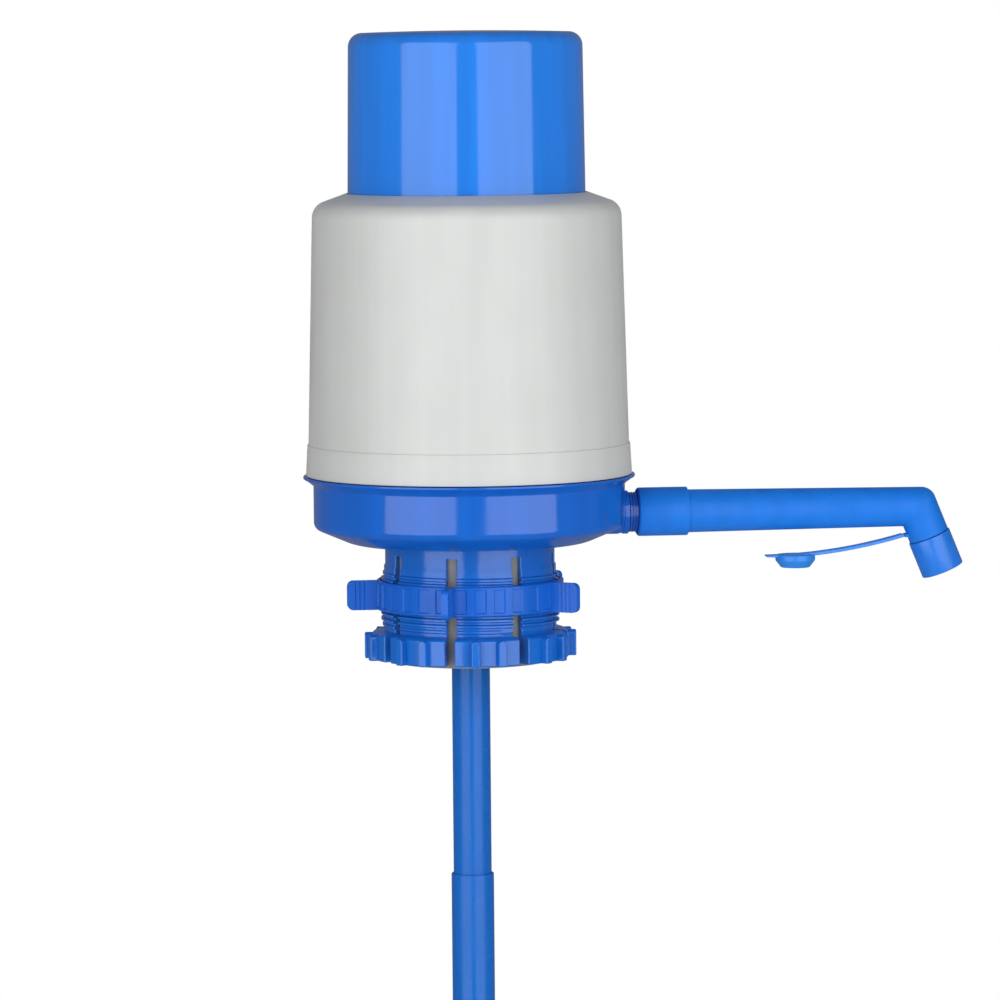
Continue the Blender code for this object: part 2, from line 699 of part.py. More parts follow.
def make_base(axis):
    top = BASE_TOP_Z
    low = BASE_BOTTOM_Z
    inner_r = BOWL_R - BOWL_WALL
    flat_r = BOWL_R - BOWL_SLOPE_REACH
    corner_r = BOWL_R - BOWL_ROUND
    edge_r = corner_r + BOWL_ROUND * math.sin(BOWL_SLOPE)
    corner_z = low + slope_rise(edge_r) + BOWL_ROUND * math.cos(BOWL_SLOPE)
    outer_round = arc(corner_r, corner_z, BOWL_ROUND, BOWL_ROUND, 0, math.degrees(BOWL_SLOPE) - 90)
    floor_hole_r = NECK_R + GAP
    outline = [
        (SPIGOT_R, top + SPIGOT_ABOVE_BASE),
        (SPIGOT_R, top),
        (FLANGE_R, top),
        (FLANGE_R, top - FLANGE_LIP),
        (BOWL_R, top - FLANGE_DROP),
    ] + outer_round + [
        (flat_r, low),
        (floor_hole_r, low),
        (floor_hole_r, FLOOR_TOP_Z),
        (flat_r, FLOOR_TOP_Z),
        (inner_r, FLOOR_TOP_Z + slope_rise(inner_r)),
        (inner_r, LEDGE_TOP_Z - LEDGE_DEPTH),
        (LEDGE_R, LEDGE_TOP_Z - LEDGE_THICKNESS),
        (LEDGE_R, LEDGE_TOP_Z),
        (SPIGOT_INNER_R, LEDGE_TOP_Z),
        (SPIGOT_INNER_R, top + SPIGOT_ABOVE_BASE),
    ]
    base = add_object("base", lathe(outline, BIG_SEGMENTS), BASE)
    post_low = (low + slope_rise(DECK_SCREW_CIRCLE_R + POST_R)
                + FLOOR_TOP_Z + slope_rise(DECK_SCREW_CIRCLE_R - POST_R)) / 2
    post = lathe(ring_outline(SCREW_HOLE_R, POST_R, post_low, DECK_BOTTOM_Z - GAP), SCREW_SEGMENTS)
    join(base, "base_posts", on_circle(post, DECK_SCREW_CIRCLE_R, SCREW_COUNT, SCREW_PHASE))
    port = disc(PORT_BOSS_R, BOWL_R - PORT_BOSS_INSET, BOWL_R + PORT_BOSS_REACH, SMALL_SEGMENTS)
    join(base, "base_port_boss", along_x(port))
    hole_end = BOWL_R + PORT_BOSS_REACH + OVERRUN
    port_hole = disc(PIPE_R + GAP, BOWL_R - 2 * PORT_BOSS_INSET, hole_end, SMALL_SEGMENTS)
    cut(base, "base_port_hole", along_x(port_hole))
    collet_hole_low = COLLET_FLANGE_TOP_Z - COLLET_SCREW_LENGTH
    holes = screw_holes(COLLET_SCREW_R, collet_hole_low, COLLET_FLANGE_TOP_Z, COLLET_SCREW_PHASE)
    cut(base, "base_collet_holes", holes)
    carry(base, axis)


def make_collet(axis):
    """The slotted neck: eight fingers under a flange, with a threaded zone and ribbed toes."""
    flange_top = COLLET_FLANGE_TOP_Z
    web_top = WEB_BOTTOM_Z + WEB_THICKNESS
    outline = [
        (COLLET_FLANGE_R, COLLET_FLANGE_BOTTOM_Z),
        (NECK_R, COLLET_FLANGE_BOTTOM_Z),
        (NECK_R, -NECK_SMOOTH_DEPTH),
        (THREAD_R, -NECK_SMOOTH_DEPTH - THREAD_RAMP),
        (THREAD_R, -TOE_TOP_DEPTH + THREAD_RAMP),
        (TOE_R, -TOE_TOP_DEPTH),
        (TOE_R, TOE_BOTTOM_Z),
        (NECK_BORE_R, TOE_BOTTOM_Z),
        (NECK_BORE_R, WEB_BOTTOM_Z),
        (WEB_BORE_R, WEB_BOTTOM_Z),
        (WEB_BORE_R, web_top),
        (NECK_BORE_R, web_top),
        (NECK_BORE_R, flange_top),
        (COLLET_FLANGE_R, flange_top),
    ]
    collet = add_object("neck_collet", lathe(outline, BIG_SEGMENTS), BASE)
    join(collet, "collet_toe_ribs", toe_ribs())
    half = SLOT_WIDTH / 2
    slot = slab([(WEB_BORE_R, -half), (TOE_RIB_R + OVERRUN, -half), (TOE_RIB_R + OVERRUN, half),
                 (WEB_BORE_R, half)], TOE_BOTTOM_Z - OVERRUN, -SLOT_TOP_DEPTH)
    cut(collet, "collet_slots", on_circle(slot, 0, SLOT_COUNT, SLOT_PHASE))
    holes = screw_holes(COLLET_SCREW_R, COLLET_FLANGE_BOTTOM_Z - OVERRUN, flange_top + OVERRUN,
                        COLLET_SCREW_PHASE)
    cut(collet, "collet_screw_holes", holes)
    carry(collet, axis)
    add_screws("collet_screw", COLLET_SCREW_LENGTH, COLLET_SCREW_R, flange_top + GAP, axis,
               phase=COLLET_SCREW_PHASE)


def toe_ribs():
    """Two upright ribs with round tops on each toe, standing a little above the toe's foot."""
    half = TOE_RIB_WIDTH / 2
    top = TOE_BOTTOM_Z + TOE_RIB_HEIGHT
    crown = arc(0, top - half, half, half, 0, 180, ROUND_STEPS)
    face = [(-half, TOE_BOTTOM_Z), (half, TOE_BOTTOM_Z)] + crown
    rib = slab(face, TOE_R - RIB_ROOT, TOE_RIB_R)
    stand = Matrix(((0, 0, 1, 0), (1, 0, 0, 0), (0, 1, 0, 0), (0, 0, 0, 1)))
    ribs = []
    for k in range(SLOT_COUNT):
        middle = SLOT_PHASE + 2 * math.pi * (k + 1 / 2) / SLOT_COUNT
        for side in (-1, 1):
            ribs.append(placed(rib, spin(middle + side * TOE_RIB_SPREAD) @ stand))
    return together(ribs)


def make_clamp_ring(axis):
    """The winged ring that screws along the collet and draws its fingers in."""
    top = -RING_TOP_DEPTH
    low = top - RING_HEIGHT
    body = ring_outline(RING_BORE_R, RING_R, low, top)
    ring = add_object("clamp_ring", lathe(body, BIG_SEGMENTS), SPOUT_PLASTIC)
    corner = WING_CORNER
    outer_x = WING_TIP_R - corner
    face = [(RING_R - WING_ROOT, low)]
    face += arc(outer_x, low + corner, corner, corner, -90, 0, ROUND_STEPS)
    face += arc(outer_x, top - corner, corner, corner, 0, 90, ROUND_STEPS)
    face += [(RING_R - WING_ROOT, top)]
    wing = slab(face, -WING_THICKNESS / 2, WING_THICKNESS / 2)
    upright = placed(wing, Matrix.Rotation(math.pi / 2, 4, "X"))
    join(ring, "clamp_wings", on_circle(upright, 0, WING_COUNT, WING_PHASE))
    carry(ring, axis)


def make_neck_seals(axis):
    gasket = ring_outline(GASKET_BORE_R, GASKET_R, 0, WEB_BOTTOM_Z - GAP)
    carry(add_object("rim_gasket", lathe(gasket, MEDIUM_SEGMENTS), RUBBER), axis)
    low = TOE_BOTTOM_Z - SLEEVE_BELOW_TOES
    sleeve = ring_outline(SLEEVE_BORE_R, SLEEVE_BORE_R + SLEEVE_WALL, low, -GAP)
    carry(add_object("neck_sleeve", lathe(sleeve, MEDIUM_SEGMENTS), RUBBER), axis)


def water_path():
    """Points and directions where the water way turns from the nipple down to the dip tube."""
    centre = Vector((ELBOW_RADIUS, 0, PORT_Z - ELBOW_RADIUS))
    run = []
    for k in range(ELBOW_STEPS + 1):
        turn = math.pi / 2 * k / ELBOW_STEPS
        place = centre + ELBOW_RADIUS * Vector((-math.sin(turn), 0, math.cos(turn)))
        run.append((place, Vector((-math.cos(turn), 0, -math.sin(turn)))))
    return run


def make_water_elbow(axis):
    """The pipe from the dip tube to the nipple that the spout turns on, with two O-rings."""
    inwards = Vector((-1, 0, 0))
    down = Vector((0, 0, -1))

    def at(x, radius):
        return hoop(Vector((x, 0, PORT_Z)), inwards, radius)

    bend = water_path()
    drop_top = Vector((0, 0, PORT_Z - ELBOW_RADIUS - GAP))
    drop_end = Vector((0, 0, -DROP_PIPE_DEPTH))
    half = O_RING_R + FIT_GAP
    rings = [at(NIPPLE_END_X, NIPPLE_R)]
    for back in O_RING_PLACES_FROM_TIP:
        centre = NIPPLE_END_X - back
        rings += [at(centre + half, NIPPLE_R), at(centre + half, O_RING_GROOVE_R)]
        rings += [at(centre - half, O_RING_GROOVE_R), at(centre - half, NIPPLE_R)]
    rings += [at(NIPPLE_START_X, NIPPLE_R), at(NIPPLE_START_X, PIPE_R)]
    rings += [hoop(place, direction, PIPE_R) for place, direction in bend]
    rings += [hoop(drop_top, down, DROP_PIPE_R), hoop(drop_end, down, DROP_PIPE_R)]
    rings += [hoop(drop_end, down, WATER_BORE_R)]
    rings += [hoop(place, direction, WATER_BORE_R) for place, direction in bend[::-1]]
    rings += [at(NIPPLE_END_X, WATER_BORE_R)]
    carry(add_object("water_elbow", pipe(rings), SPOUT_PLASTIC), axis)
    for k, back in enumerate(O_RING_PLACES_FROM_TIP):
        centre_r = O_RING_GROOVE_R + FIT_GAP + O_RING_R
        outline = arc(centre_r, NIPPLE_END_X - back, O_RING_R, O_RING_R, 0, 360, O_RING_SIDES)[:-1]
        o_ring = along_x(lathe(outline, SMALL_SEGMENTS))
        carry(add_object(f"spout_o_ring_{k + 1}", o_ring, SEAL), axis)


def bend_hoop(share, radius):
    """A ring of points in the spout's bend, at a share of its turn. Each line along the spout has
    its own round there, small on the inside of the bend and large on the outside."""
    turn = BEND_ANGLE * share
    corner = Vector((BEND_X, 0, PORT_Z))
    out = Vector((math.sin(BEND_ANGLE), 0, math.cos(BEND_ANGLE))) + Vector((0, 0, 1))
    mitre = out / (1 + math.cos(BEND_ANGLE))
    facing = Vector((math.sin(turn), 0, math.cos(turn)))
    middle_round = (BEND_OUTER_ROUND + BEND_INNER_ROUND) / 2
    growth = (BEND_OUTER_ROUND - BEND_INNER_ROUND) / (2 * NOZZLE_R)
    ring = []
    for k in range(SMALL_SEGMENTS):
        around = 2 * math.pi * k / SMALL_SEGMENTS
        height = radius * math.sin(around)
        size = middle_round + growth * height
        side = Vector((0, radius * math.cos(around), 0))
        ring.append(corner + side + (height - size) * mitre + size * facing)
    return ring


def nozzle_hoop(from_corner, radius):
    """A ring of points round the nozzle, at a distance from the corner of the bend."""
    down = Vector((math.cos(BEND_ANGLE), 0, -math.sin(BEND_ANGLE)))
    return hoop(Vector((BEND_X, 0, PORT_Z)) + from_corner * down, down, radius)


def make_spout(axis):
    along = Vector((1, 0, 0))

    def at(x, radius):
        return hoop(Vector((x, 0, PORT_Z)), along, radius)

    end_x = SOCKET_START_X + SOCKET_LENGTH
    bore_end_x = NIPPLE_END_X + GAP
    socket_bore_r = O_RING_GROOVE_R + 2 * FIT_GAP + 2 * O_RING_R
    step = NOZZLE_LENGTH - NOZZLE_SLEEVE_LENGTH
    shares = [k / BEND_STEPS for k in range(BEND_STEPS + 1)]
    rings = [at(SOCKET_START_X, SOCKET_R - SOCKET_CHAMFER), at(SOCKET_START_X + SOCKET_CHAMFER, SOCKET_R)]
    rings += [at(end_x, SOCKET_R), at(end_x, SPOUT_START_R)]
    rings += [bend_hoop(share, SPOUT_END_R + (NOZZLE_R - SPOUT_END_R) * share) for share in shares]
    rings += [nozzle_hoop(step, NOZZLE_R), nozzle_hoop(step, NOZZLE_SPIGOT_R)]
    rings += [nozzle_hoop(NOZZLE_LENGTH, NOZZLE_SPIGOT_R), nozzle_hoop(NOZZLE_LENGTH, MOUTH_BORE_R)]
    rings += [bend_hoop(share, SPOUT_BORE_R) for share in shares[::-1]]
    rings += [at(bore_end_x, SPOUT_BORE_R), at(bore_end_x, socket_bore_r)]
    rings += [at(SOCKET_START_X, socket_bore_r)]
    spout = add_object("spout", pipe(rings), SPOUT_PLASTIC)
    join(spout, "spout_strap_lug", strap_lug())
    carry(spout, axis)
    sleeve_bore = NOZZLE_SPIGOT_R + FIT_GAP
    sleeve = pipe([nozzle_hoop(step + GAP, NOZZLE_SLEEVE_R), nozzle_hoop(NOZZLE_LENGTH, NOZZLE_SLEEVE_R),
                   nozzle_hoop(NOZZLE_LENGTH, sleeve_bore), nozzle_hoop(step + GAP, sleeve_bore)])
    carry(add_object("nozzle_sleeve", sleeve, SPOUT_PLASTIC), axis)


def strap_lug():
    """The stub on the spout that the strap grows from."""
    half = STRAP_THICKNESS / 2
    start = half + GAP
    lug = slab([(start, -half), (LUG_REACH, -half), (LUG_REACH, half), (start, half)],
               -STRAP_WIDTH / 2, STRAP_WIDTH / 2)
    upright = placed(lug, Matrix.Rotation(math.pi / 2, 4, "X"))
    return placed(upright, Matrix.Translation(STRAP_ROOT))


def strap_outline():
    """The strap's side view, hanging from its round root in an easy curve to a level end."""
    half = STRAP_THICKNESS / 2
    top = arc(0, 0, half, half, 0, 90)
    under = arc(0, 0, half, half, 0, -90)[1:]
    for k in range(1, STRAP_STEPS + 1):
        share = k / STRAP_STEPS
        fall = STRAP_FALL * (1 - (1 - share) ** 2)
        x = -STRAP_LENGTH * share
        top.append((x, half - fall))
        under.append((x, -half - fall))
    return top + under[::-1]


def make_dust_cap(axis):
    strap = slab(strap_outline(), -STRAP_WIDTH / 2, STRAP_WIDTH / 2)
    upright = placed(strap, Matrix.Rotation(math.pi / 2, 4, "X"))
    cap = add_object("dust_cap", placed(upright, Matrix.Translation(STRAP_ROOT)), SPOUT_PLASTIC)
    top = STRAP_ROOT.z - STRAP_FALL + STRAP_THICKNESS / 2
    low = top - PLUG_DEPTH - PLUG_RIM_HEIGHT
    cup = lathe([
        (0, top - PLUG_WALL),
        (PLUG_TIP_R - PLUG_WALL, top - PLUG_WALL),
        (PLUG_TIP_R - PLUG_WALL, low),
        (PLUG_TIP_R, low),
        (PLUG_TOP_R, top - PLUG_RIM_HEIGHT),
        (PLUG_TOP_R, top),
        (0, top),
    ], SMALL_SEGMENTS)
    x = STRAP_ROOT.x - STRAP_LENGTH + PLUG_FROM_END
    join(cap, "dust_cap_plug", placed(cup, shift(x=x)))
    carry(cap, axis)


def make_dip_tubes(axis):
    """Three push-fit tubes, each lower one socketed over the one above, with a notched foot."""
    joint = TUBE_JOINT_OVERLAP
    upper = ring_outline(TUBE_R - TUBE_WALL, TUBE_R, -UPPER_TUBE_END_DEPTH - joint, -TUBE_TOP_DEPTH)
    carry(add_object("dip_tube_upper", lathe(upper, SMALL_SEGMENTS), SPOUT_PLASTIC), axis)
    bore = TUBE_R + FIT_GAP
    middle = ring_outline(bore, SOCKET_TUBE_R, -MIDDLE_TUBE_END_DEPTH, -UPPER_TUBE_END_DEPTH)
    carry(add_object("dip_tube_middle", lathe(middle, SMALL_SEGMENTS), SPOUT_PLASTIC), axis)
    shoulder = -MIDDLE_TUBE_END_DEPTH - GAP
    lower = lathe([
        (TUBE_R, shoulder + joint),
        (TUBE_R - TUBE_WALL, shoulder + joint),
        (TUBE_R - TUBE_WALL, -LOWER_TUBE_END_DEPTH),
        (SOCKET_TUBE_R, -LOWER_TUBE_END_DEPTH),
        (SOCKET_TUBE_R, shoulder),
        (TUBE_R, shoulder),
    ], SMALL_SEGMENTS)
    foot = add_object("dip_tube_lower", lower, SPOUT_PLASTIC)
    half = SOCKET_TUBE_R - TUBE_WALL
    notch = slab([(-half, 0), (half, 0), (0, FOOT_NOTCH)], -SOCKET_TUBE_R - OVERRUN,
                 SOCKET_TUBE_R + OVERRUN)
    upright = placed(notch, Matrix.Rotation(math.pi / 2, 4, "X"))
    cut(foot, "foot_notch", placed(upright, shift(z=-LOWER_TUBE_END_DEPTH - GAP)))
    carry(foot, axis)


clear_scene()
GUIDE = make_material("guide", INNER_WHITE, 1.0)
SHELL = make_material("barrel_plastic", SHELL_WHITE, 0.35)
CAP = make_material("cap_plastic", CAP_BLUE, 0.25)
BASE = make_material("base_plastic", BASE_BLUE, 0.3)
SPOUT_PLASTIC = make_material("spout_plastic", SPOUT_BLUE, 0.3)
INNER = make_material("inner_plastic", INNER_WHITE, 0.45)
RUBBER = make_material("grey_rubber", RUBBER_GREY, 0.6)
SEAL = make_material("black_rubber", SEAL_BLACK, 0.55)
STEEL_MATERIAL = make_material("steel", STEEL, 0.3, 1.0)

body_axis = add_axis("pump_body", (0, 0, 0))
cap_axis = add_axis("press_axis", (0, 0, CAP_RIM_BOTTOM_Z), body_axis)
inlet_axis = add_axis("inlet_valve_axis", (0, 0, PLATE_BOTTOM_Z), cap_axis)
outlet_axis = add_axis("outlet_valve_axis", (0, 0, DECK_BOTTOM_Z), body_axis)
ring_axis = add_axis("clamp_ring_axis", (0, 0, -RING_TOP_DEPTH), body_axis)
spout_axis = add_axis("spout_axis", (SOCKET_START_X, 0, PORT_Z), body_axis)
strap_axis = add_axis("strap_axis", tuple(STRAP_ROOT), spout_axis)

make_barrel(body_axis)
make_press_cap(cap_axis)
make_cap_plate(cap_axis)
make_deck(body_axis)
make_valve("inlet", PLATE_BOTTOM_Z, PLATE_TOP_Z, cap_axis, inlet_axis)
make_valve("outlet", DECK_BOTTOM_Z, DECK_TOP_Z, body_axis, outlet_axis)
make_bellows(body_axis)
spring_gap = make_spring(body_axis)
make_base(body_axis)
make_collet(body_axis)
make_clamp_ring(ring_axis)
make_neck_seals(body_axis)
make_water_elbow(body_axis)
make_spout(spout_axis)
make_dust_cap(strap_axis)
make_dip_tubes(body_axis)
print(f"least gap between the spring's turns: {spring_gap / MM:.2f} mm")
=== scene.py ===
"""Looks of the water jug hand pump: finer shells over the CAD pieces, their plastics and rubbers,
the light and the camera. Metres, in the CAD's own frame: +Z up, +X along the spout."""
import math

import bmesh
import bpy
from mathutils import Matrix, Vector


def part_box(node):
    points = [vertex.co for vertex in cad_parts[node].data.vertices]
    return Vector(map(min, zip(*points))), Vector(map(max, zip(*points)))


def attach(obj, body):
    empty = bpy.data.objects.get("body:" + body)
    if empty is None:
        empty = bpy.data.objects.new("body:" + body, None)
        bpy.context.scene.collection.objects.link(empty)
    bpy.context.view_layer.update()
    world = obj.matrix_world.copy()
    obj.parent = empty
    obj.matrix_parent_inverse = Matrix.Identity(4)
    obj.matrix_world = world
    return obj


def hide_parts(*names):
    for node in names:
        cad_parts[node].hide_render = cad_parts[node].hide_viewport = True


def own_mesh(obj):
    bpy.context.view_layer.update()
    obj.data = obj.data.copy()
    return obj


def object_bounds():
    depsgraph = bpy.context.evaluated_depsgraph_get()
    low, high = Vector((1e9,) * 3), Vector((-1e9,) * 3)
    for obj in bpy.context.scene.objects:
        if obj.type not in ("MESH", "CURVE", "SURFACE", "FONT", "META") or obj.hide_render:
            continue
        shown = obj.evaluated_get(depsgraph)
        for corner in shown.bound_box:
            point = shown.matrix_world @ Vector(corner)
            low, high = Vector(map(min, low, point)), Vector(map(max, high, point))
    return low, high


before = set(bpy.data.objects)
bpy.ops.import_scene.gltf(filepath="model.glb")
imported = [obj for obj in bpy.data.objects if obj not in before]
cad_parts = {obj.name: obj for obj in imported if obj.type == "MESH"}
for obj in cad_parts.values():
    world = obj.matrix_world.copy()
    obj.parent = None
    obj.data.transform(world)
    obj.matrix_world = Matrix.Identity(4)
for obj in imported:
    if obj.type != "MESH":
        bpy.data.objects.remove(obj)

MM = 0.001
CAD_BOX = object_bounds()

# Facets
ROUND = 160
TUBE_ROUND = 64
SMALL_ROUND = 32
BELLOWS_ROUND = 96
WIRE_ROUND = 12
SMOOTH_ANGLE = math.radians(35)
BEVEL_ANGLE = math.radians(40)
BLUNT_ANGLE = math.radians(150)
FINE_EDGE = 0.3 * MM
CORNER_SHARE = 0.3
CORNER_REACH_SHARE = 0.45

# The photograph: millimetres a pixel on the pump's axis, and the picture's middle from the axis
PHOTO_PIXELS = 1000
MM_PER_PIXEL = 0.3585
MIDDLE_RIGHT = 11.0 * MM
MIDDLE_UP = 16.7 * MM
CAMERA_DISTANCE = 2.0
CAMERA_ELEVATION = math.radians(4.8)
CAMERA_AZIMUTH = math.radians(7.0)
CAMERA_ROLL = math.radians(-0.5)
SENSOR = 36.0

# Light: places in degrees round the pump, sizes and distances in metres
WORLD_LIGHT = 0.17
LIGHT_AIM_Z = 90 * MM
SOFTBOX_DISTANCE = 0.9
SOFTBOX_SIZE = (0.94, 1.04)
SOFTBOX_LEFT = 36
SOFTBOX_RIGHT = -39
SOFTBOX_RISE = 5
SOFTBOX_WATTS = 6.75
BACK_TURN = 180
BACK_DISTANCE = 2.5
BACK_SIZE = (2.0, 1.6)
BACK_RISE = 20
BACK_WATTS = 36
FLOOR_REACH = 12.0
FLOOR_DROP = 1 * MM
FLOOR_SHADE = 0.8
FLOOR_SHADOW_REACH = (0.5, 1.3)
FLOOR_SHADOW_SHARE = 0.6

# The part of noise's range that carries most of it
NOISE_LOW = 0.3
NOISE_HIGH = 0.7

# Sizes that the finer pieces share with the CAD pieces
WALL = 2.2 * MM
GAP = 0.3 * MM

# Barrel
SHOULDER_SLOPE = math.radians(20)
SHOULDER_ROUND = 6.0 * MM
SHOULDER_R = 55.3 * MM
BAND_TOP_R = 57.4 * MM
BAND_STEP = 0.4 * MM
BAND_HEIGHT = 11.0 * MM
MOUTH_CLEARANCE = 0.6 * MM

# Press cap
CAP_TOP_R = 41.8 * MM
CAP_SKIRT_R = 42.5 * MM
CAP_RIM_INNER_R = 38.6 * MM
CAP_RIM_TAPER = 6 * MM
CAP_EDGE = 5.0 * MM
CAP_CROWN = 0.6 * MM
CAP_CROWN_STEPS = 9

# Base
BOWL_R = 55.8 * MM
BOWL_ROUND = 3.0 * MM
BOWL_SLOPE = math.radians(23)
BOWL_FLAT_R = 42.4 * MM
BOWL_WALL = 2.4 * MM
BOWL_FOOT = 2.5 * MM
BOWL_FOOT_STEPS = 4
BASE_EDGE = 0.25 * MM
FLANGE_LIP = 0.8 * MM
FLANGE_STEP = 0.35 * MM
FLANGE_DROP = 3.0 * MM
FLANGE_Z = 26.0 * MM
FLOOR_THICKNESS = 3.0 * MM
SPIGOT_R = 55.9 * MM
SPIGOT_HEIGHT = 4.4 * MM
LEDGE_R = 51.0 * MM
LEDGE_TOP_Z = 21.4 * MM
LEDGE_THICKNESS = 2.0 * MM
LEDGE_DEPTH = 4.6 * MM
POST_COUNT = 4
POST_PHASE = math.radians(45)
POST_CIRCLE_R = 48.1 * MM
POST_R = 2.6 * MM
POST_FOOT_Z = 5.8 * MM
POST_HOLE_R = 1.55 * MM
POST_TOP_Z = 22.7 * MM
PORT_Z = 11.4 * MM
PORT_BOSS_R = 7.8 * MM
PORT_BOSS_START = 48.6 * MM
PORT_BOSS_END = 57.2 * MM
BOSS_GROOVE_DEPTH = 0.25 * MM
BOSS_GROOVE_FROM_END = (3.4 * MM, 3.1 * MM, 2.2 * MM, 1.9 * MM)

# Neck collet
NECK_R = 30.4 * MM
NECK_BORE_R = 28.9 * MM
COLLET_FLANGE_R = 35.7 * MM
COLLET_FLANGE_THICKNESS = 1.2 * MM
COLLET_WEB_R = 21.0 * MM
COLLET_WEB_LOW = 3.0 * MM
COLLET_WEB_HIGH = 5.0 * MM
SLOT_COUNT = 8
SLOT_HALF = 1.85 * MM
SLOT_TOP_Z = -1.7 * MM
SLOT_PHASE = math.radians(26)
FINGER_STEPS = 20
FINGER_EDGE_SHARE = 0.012
ROOT_START_Z = -5.6 * MM
ROOT_FULL_Z = -6.3 * MM
THREAD_ROOT_R = 30.85 * MM
THREAD_R = 32.0 * MM
THREAD_PITCH = 2.05 * MM
THREAD_TOP_Z = -7.2 * MM
THREAD_TURNS = 10
THREAD_LEAST_SHARE = 0.02
CREST_START_SHARE = 0.22
CREST_END_SHARE = 0.52
THREAD_END_SHARE = 0.74
TOE_R = 35.3 * MM
TOE_START_Z = -29.35 * MM
TOE_SLOPE_Z = -29.75 * MM
TOE_SLOPE = 1.2 * MM
TOE_EDGE = 0.4 * MM
TOE_CORNER = 0.3 * MM
TOE_CORNER_RISE = 0.2 * MM
TOE_CORNER_FALL = 0.15 * MM
TOE_TOP_Z = -30.5 * MM
RIB_R = 38.0 * MM
RIB_ROOT = 1.5 * MM
RIB_HALF = 1.5 * MM
RIB_TOP_Z = -30.2 * MM
RIB_EDGE = 0.5 * MM
RIB_SPREAD = math.radians(7.5)

# Clamp ring
RING_BORE_R = 32.35 * MM
RING_R = 33.6 * MM
RING_EDGE = 0.4 * MM
WING_COUNT = 5
WING_PHASE = math.radians(35.5)
WING_CORNER = 2.2 * MM
WING_CORNER_STEPS = 10
WING_EDGE = 0.6 * MM
WING_HALF = 1.25 * MM
WING_ROOT = 0.9 * MM
WING_TIP_R = 44.3 * MM
WING_GROOVES = (37.8 * MM, 39.4 * MM, 41.0 * MM)
WING_GROOVE_HALF = 0.55 * MM
WING_GROOVE_FLOOR_HALF = 0.25 * MM
WING_GROOVE_DEPTH = 0.25 * MM
FLUTE_COUNT = 30
FLUTE_DEPTH = 0.45 * MM
FLUTE_SHARE = 0.62
FLUTE_SIDE = math.radians(0.5)
FLUTE_RIM = 1.0 * MM
FLUTE_END = 0.3 * MM

# Liner and washer
LINER_INNER_R = 27.6 * MM
LINER_R = 28.6 * MM
WASHER_INNER_R = 22.0 * MM
WASHER_R = 27.3 * MM
WASHER_EDGE = 0.4 * MM

# Water elbow
NIPPLE_START_X = 57.5 * MM
NIPPLE_END_X = 76.0 * MM
NIPPLE_R = 7.2 * MM
NIPPLE_EDGE = 0.4 * MM
NIPPLE_VALLEYS = (60.3 * MM, 59.4 * MM, 58.5 * MM)
VALLEY_DEPTH = 0.45 * MM
VALLEY_START = 0.1 * MM
VALLEY_FLOOR = 0.35 * MM
VALLEY_END = 0.45 * MM
PIPE_R = 4.7 * MM
WATER_BORE_R = 3.6 * MM
ELBOW_RADIUS = 7.0 * MM
ELBOW_STEPS = 16
DROP_PIPE_R = 6.1 * MM
DROP_PIPE_Z = -9.0 * MM
GROOVE_R = 6.1 * MM
GROOVE_HALF = 0.87 * MM
GROOVES_FROM_TIP = (3.2 * MM, 7.6 * MM)

# Spout
SOCKET_START_X = 60.5 * MM
SOCKET_END_X = 78.85 * MM
SOCKET_R = 8.75 * MM
SOCKET_BORE_R = 7.84 * MM
SOCKET_CHAMFER = 0.8 * MM
CHAMFER_SHARE = 0.35
SPOUT_START_R = 7.75 * MM
SPOUT_END_R = 7.1 * MM
SPOUT_BORE_R = 5.0 * MM
BEND_X = 163.25 * MM
BEND_OUTER_ROUND = 5.3 * MM
BEND_INNER_ROUND = 0.9 * MM
BEND_ANGLE = math.radians(68)
BEND_STEPS = 24
NOZZLE_R = 7.4 * MM
NOZZLE_LENGTH = 25.0 * MM
SLEEVE_LENGTH = 13.7 * MM
SLEEVE_R = 7.8 * MM
SLEEVE_CLEARANCE = 0.12 * MM
NOZZLE_SPIGOT_R = 6.0 * MM
MOUTH_BORE_R = 4.8 * MM

# Dust cap
STRAP_ROOT = Vector((157.6 * MM, 0, 1.05 * MM))
STRAP_FRAME = Matrix.Translation(STRAP_ROOT) @ Matrix.Rotation(math.pi / 2, 4, "X")
STRAP_HALF = 0.6 * MM
STRAP_SIDE = 2.5 * MM
STRAP_LENGTH = 50.0 * MM
STRAP_FALL = 6.8 * MM
STRAP_STEPS = 48
STRAP_EDGE = 0.25 * MM
STRAP_TIP_SHARE = 0.18
STRAP_TIP_THINNING = 0.45
LUG_REACH = 3.1 * MM
PLUG_FROM_END = 10.8 * MM
PLUG_TOP_R = 7.2 * MM
PLUG_TIP_R = 5.2 * MM
PLUG_BORE_R = 4.0 * MM
PLUG_WALL = 1.2 * MM
PLUG_RIM_HEIGHT = 2.0 * MM

# Dip tubes
TUBE_R = 6.85 * MM
TUBE_BORE_R = 6.25 * MM
SOCKET_TUBE_R = 7.65 * MM
SOCKET_TUBE_BORE_R = 6.97 * MM
FOOT_HALF = 7.05 * MM
FOOT_NOTCH = 8.0 * MM

# Bellows and spring
CUFF_R = 38.7 * MM
CUFF_HEIGHT = 4.6 * MM
BELLOWS_WALL = 1.0 * MM
BELLOWS_FOLDS = 7
BELLOWS_OUTER_R = 50.0 * MM
BELLOWS_INNER_R = 41.6 * MM
BELLOWS_LAP = 0.5 * MM
FOLD_ROUND = 0.9 * MM
SPRING_R = 14.0 * MM
SPRING_WIRE_R = 1.0 * MM
SPRING_TURNS = 8
SPRING_TURN_STEPS = 28


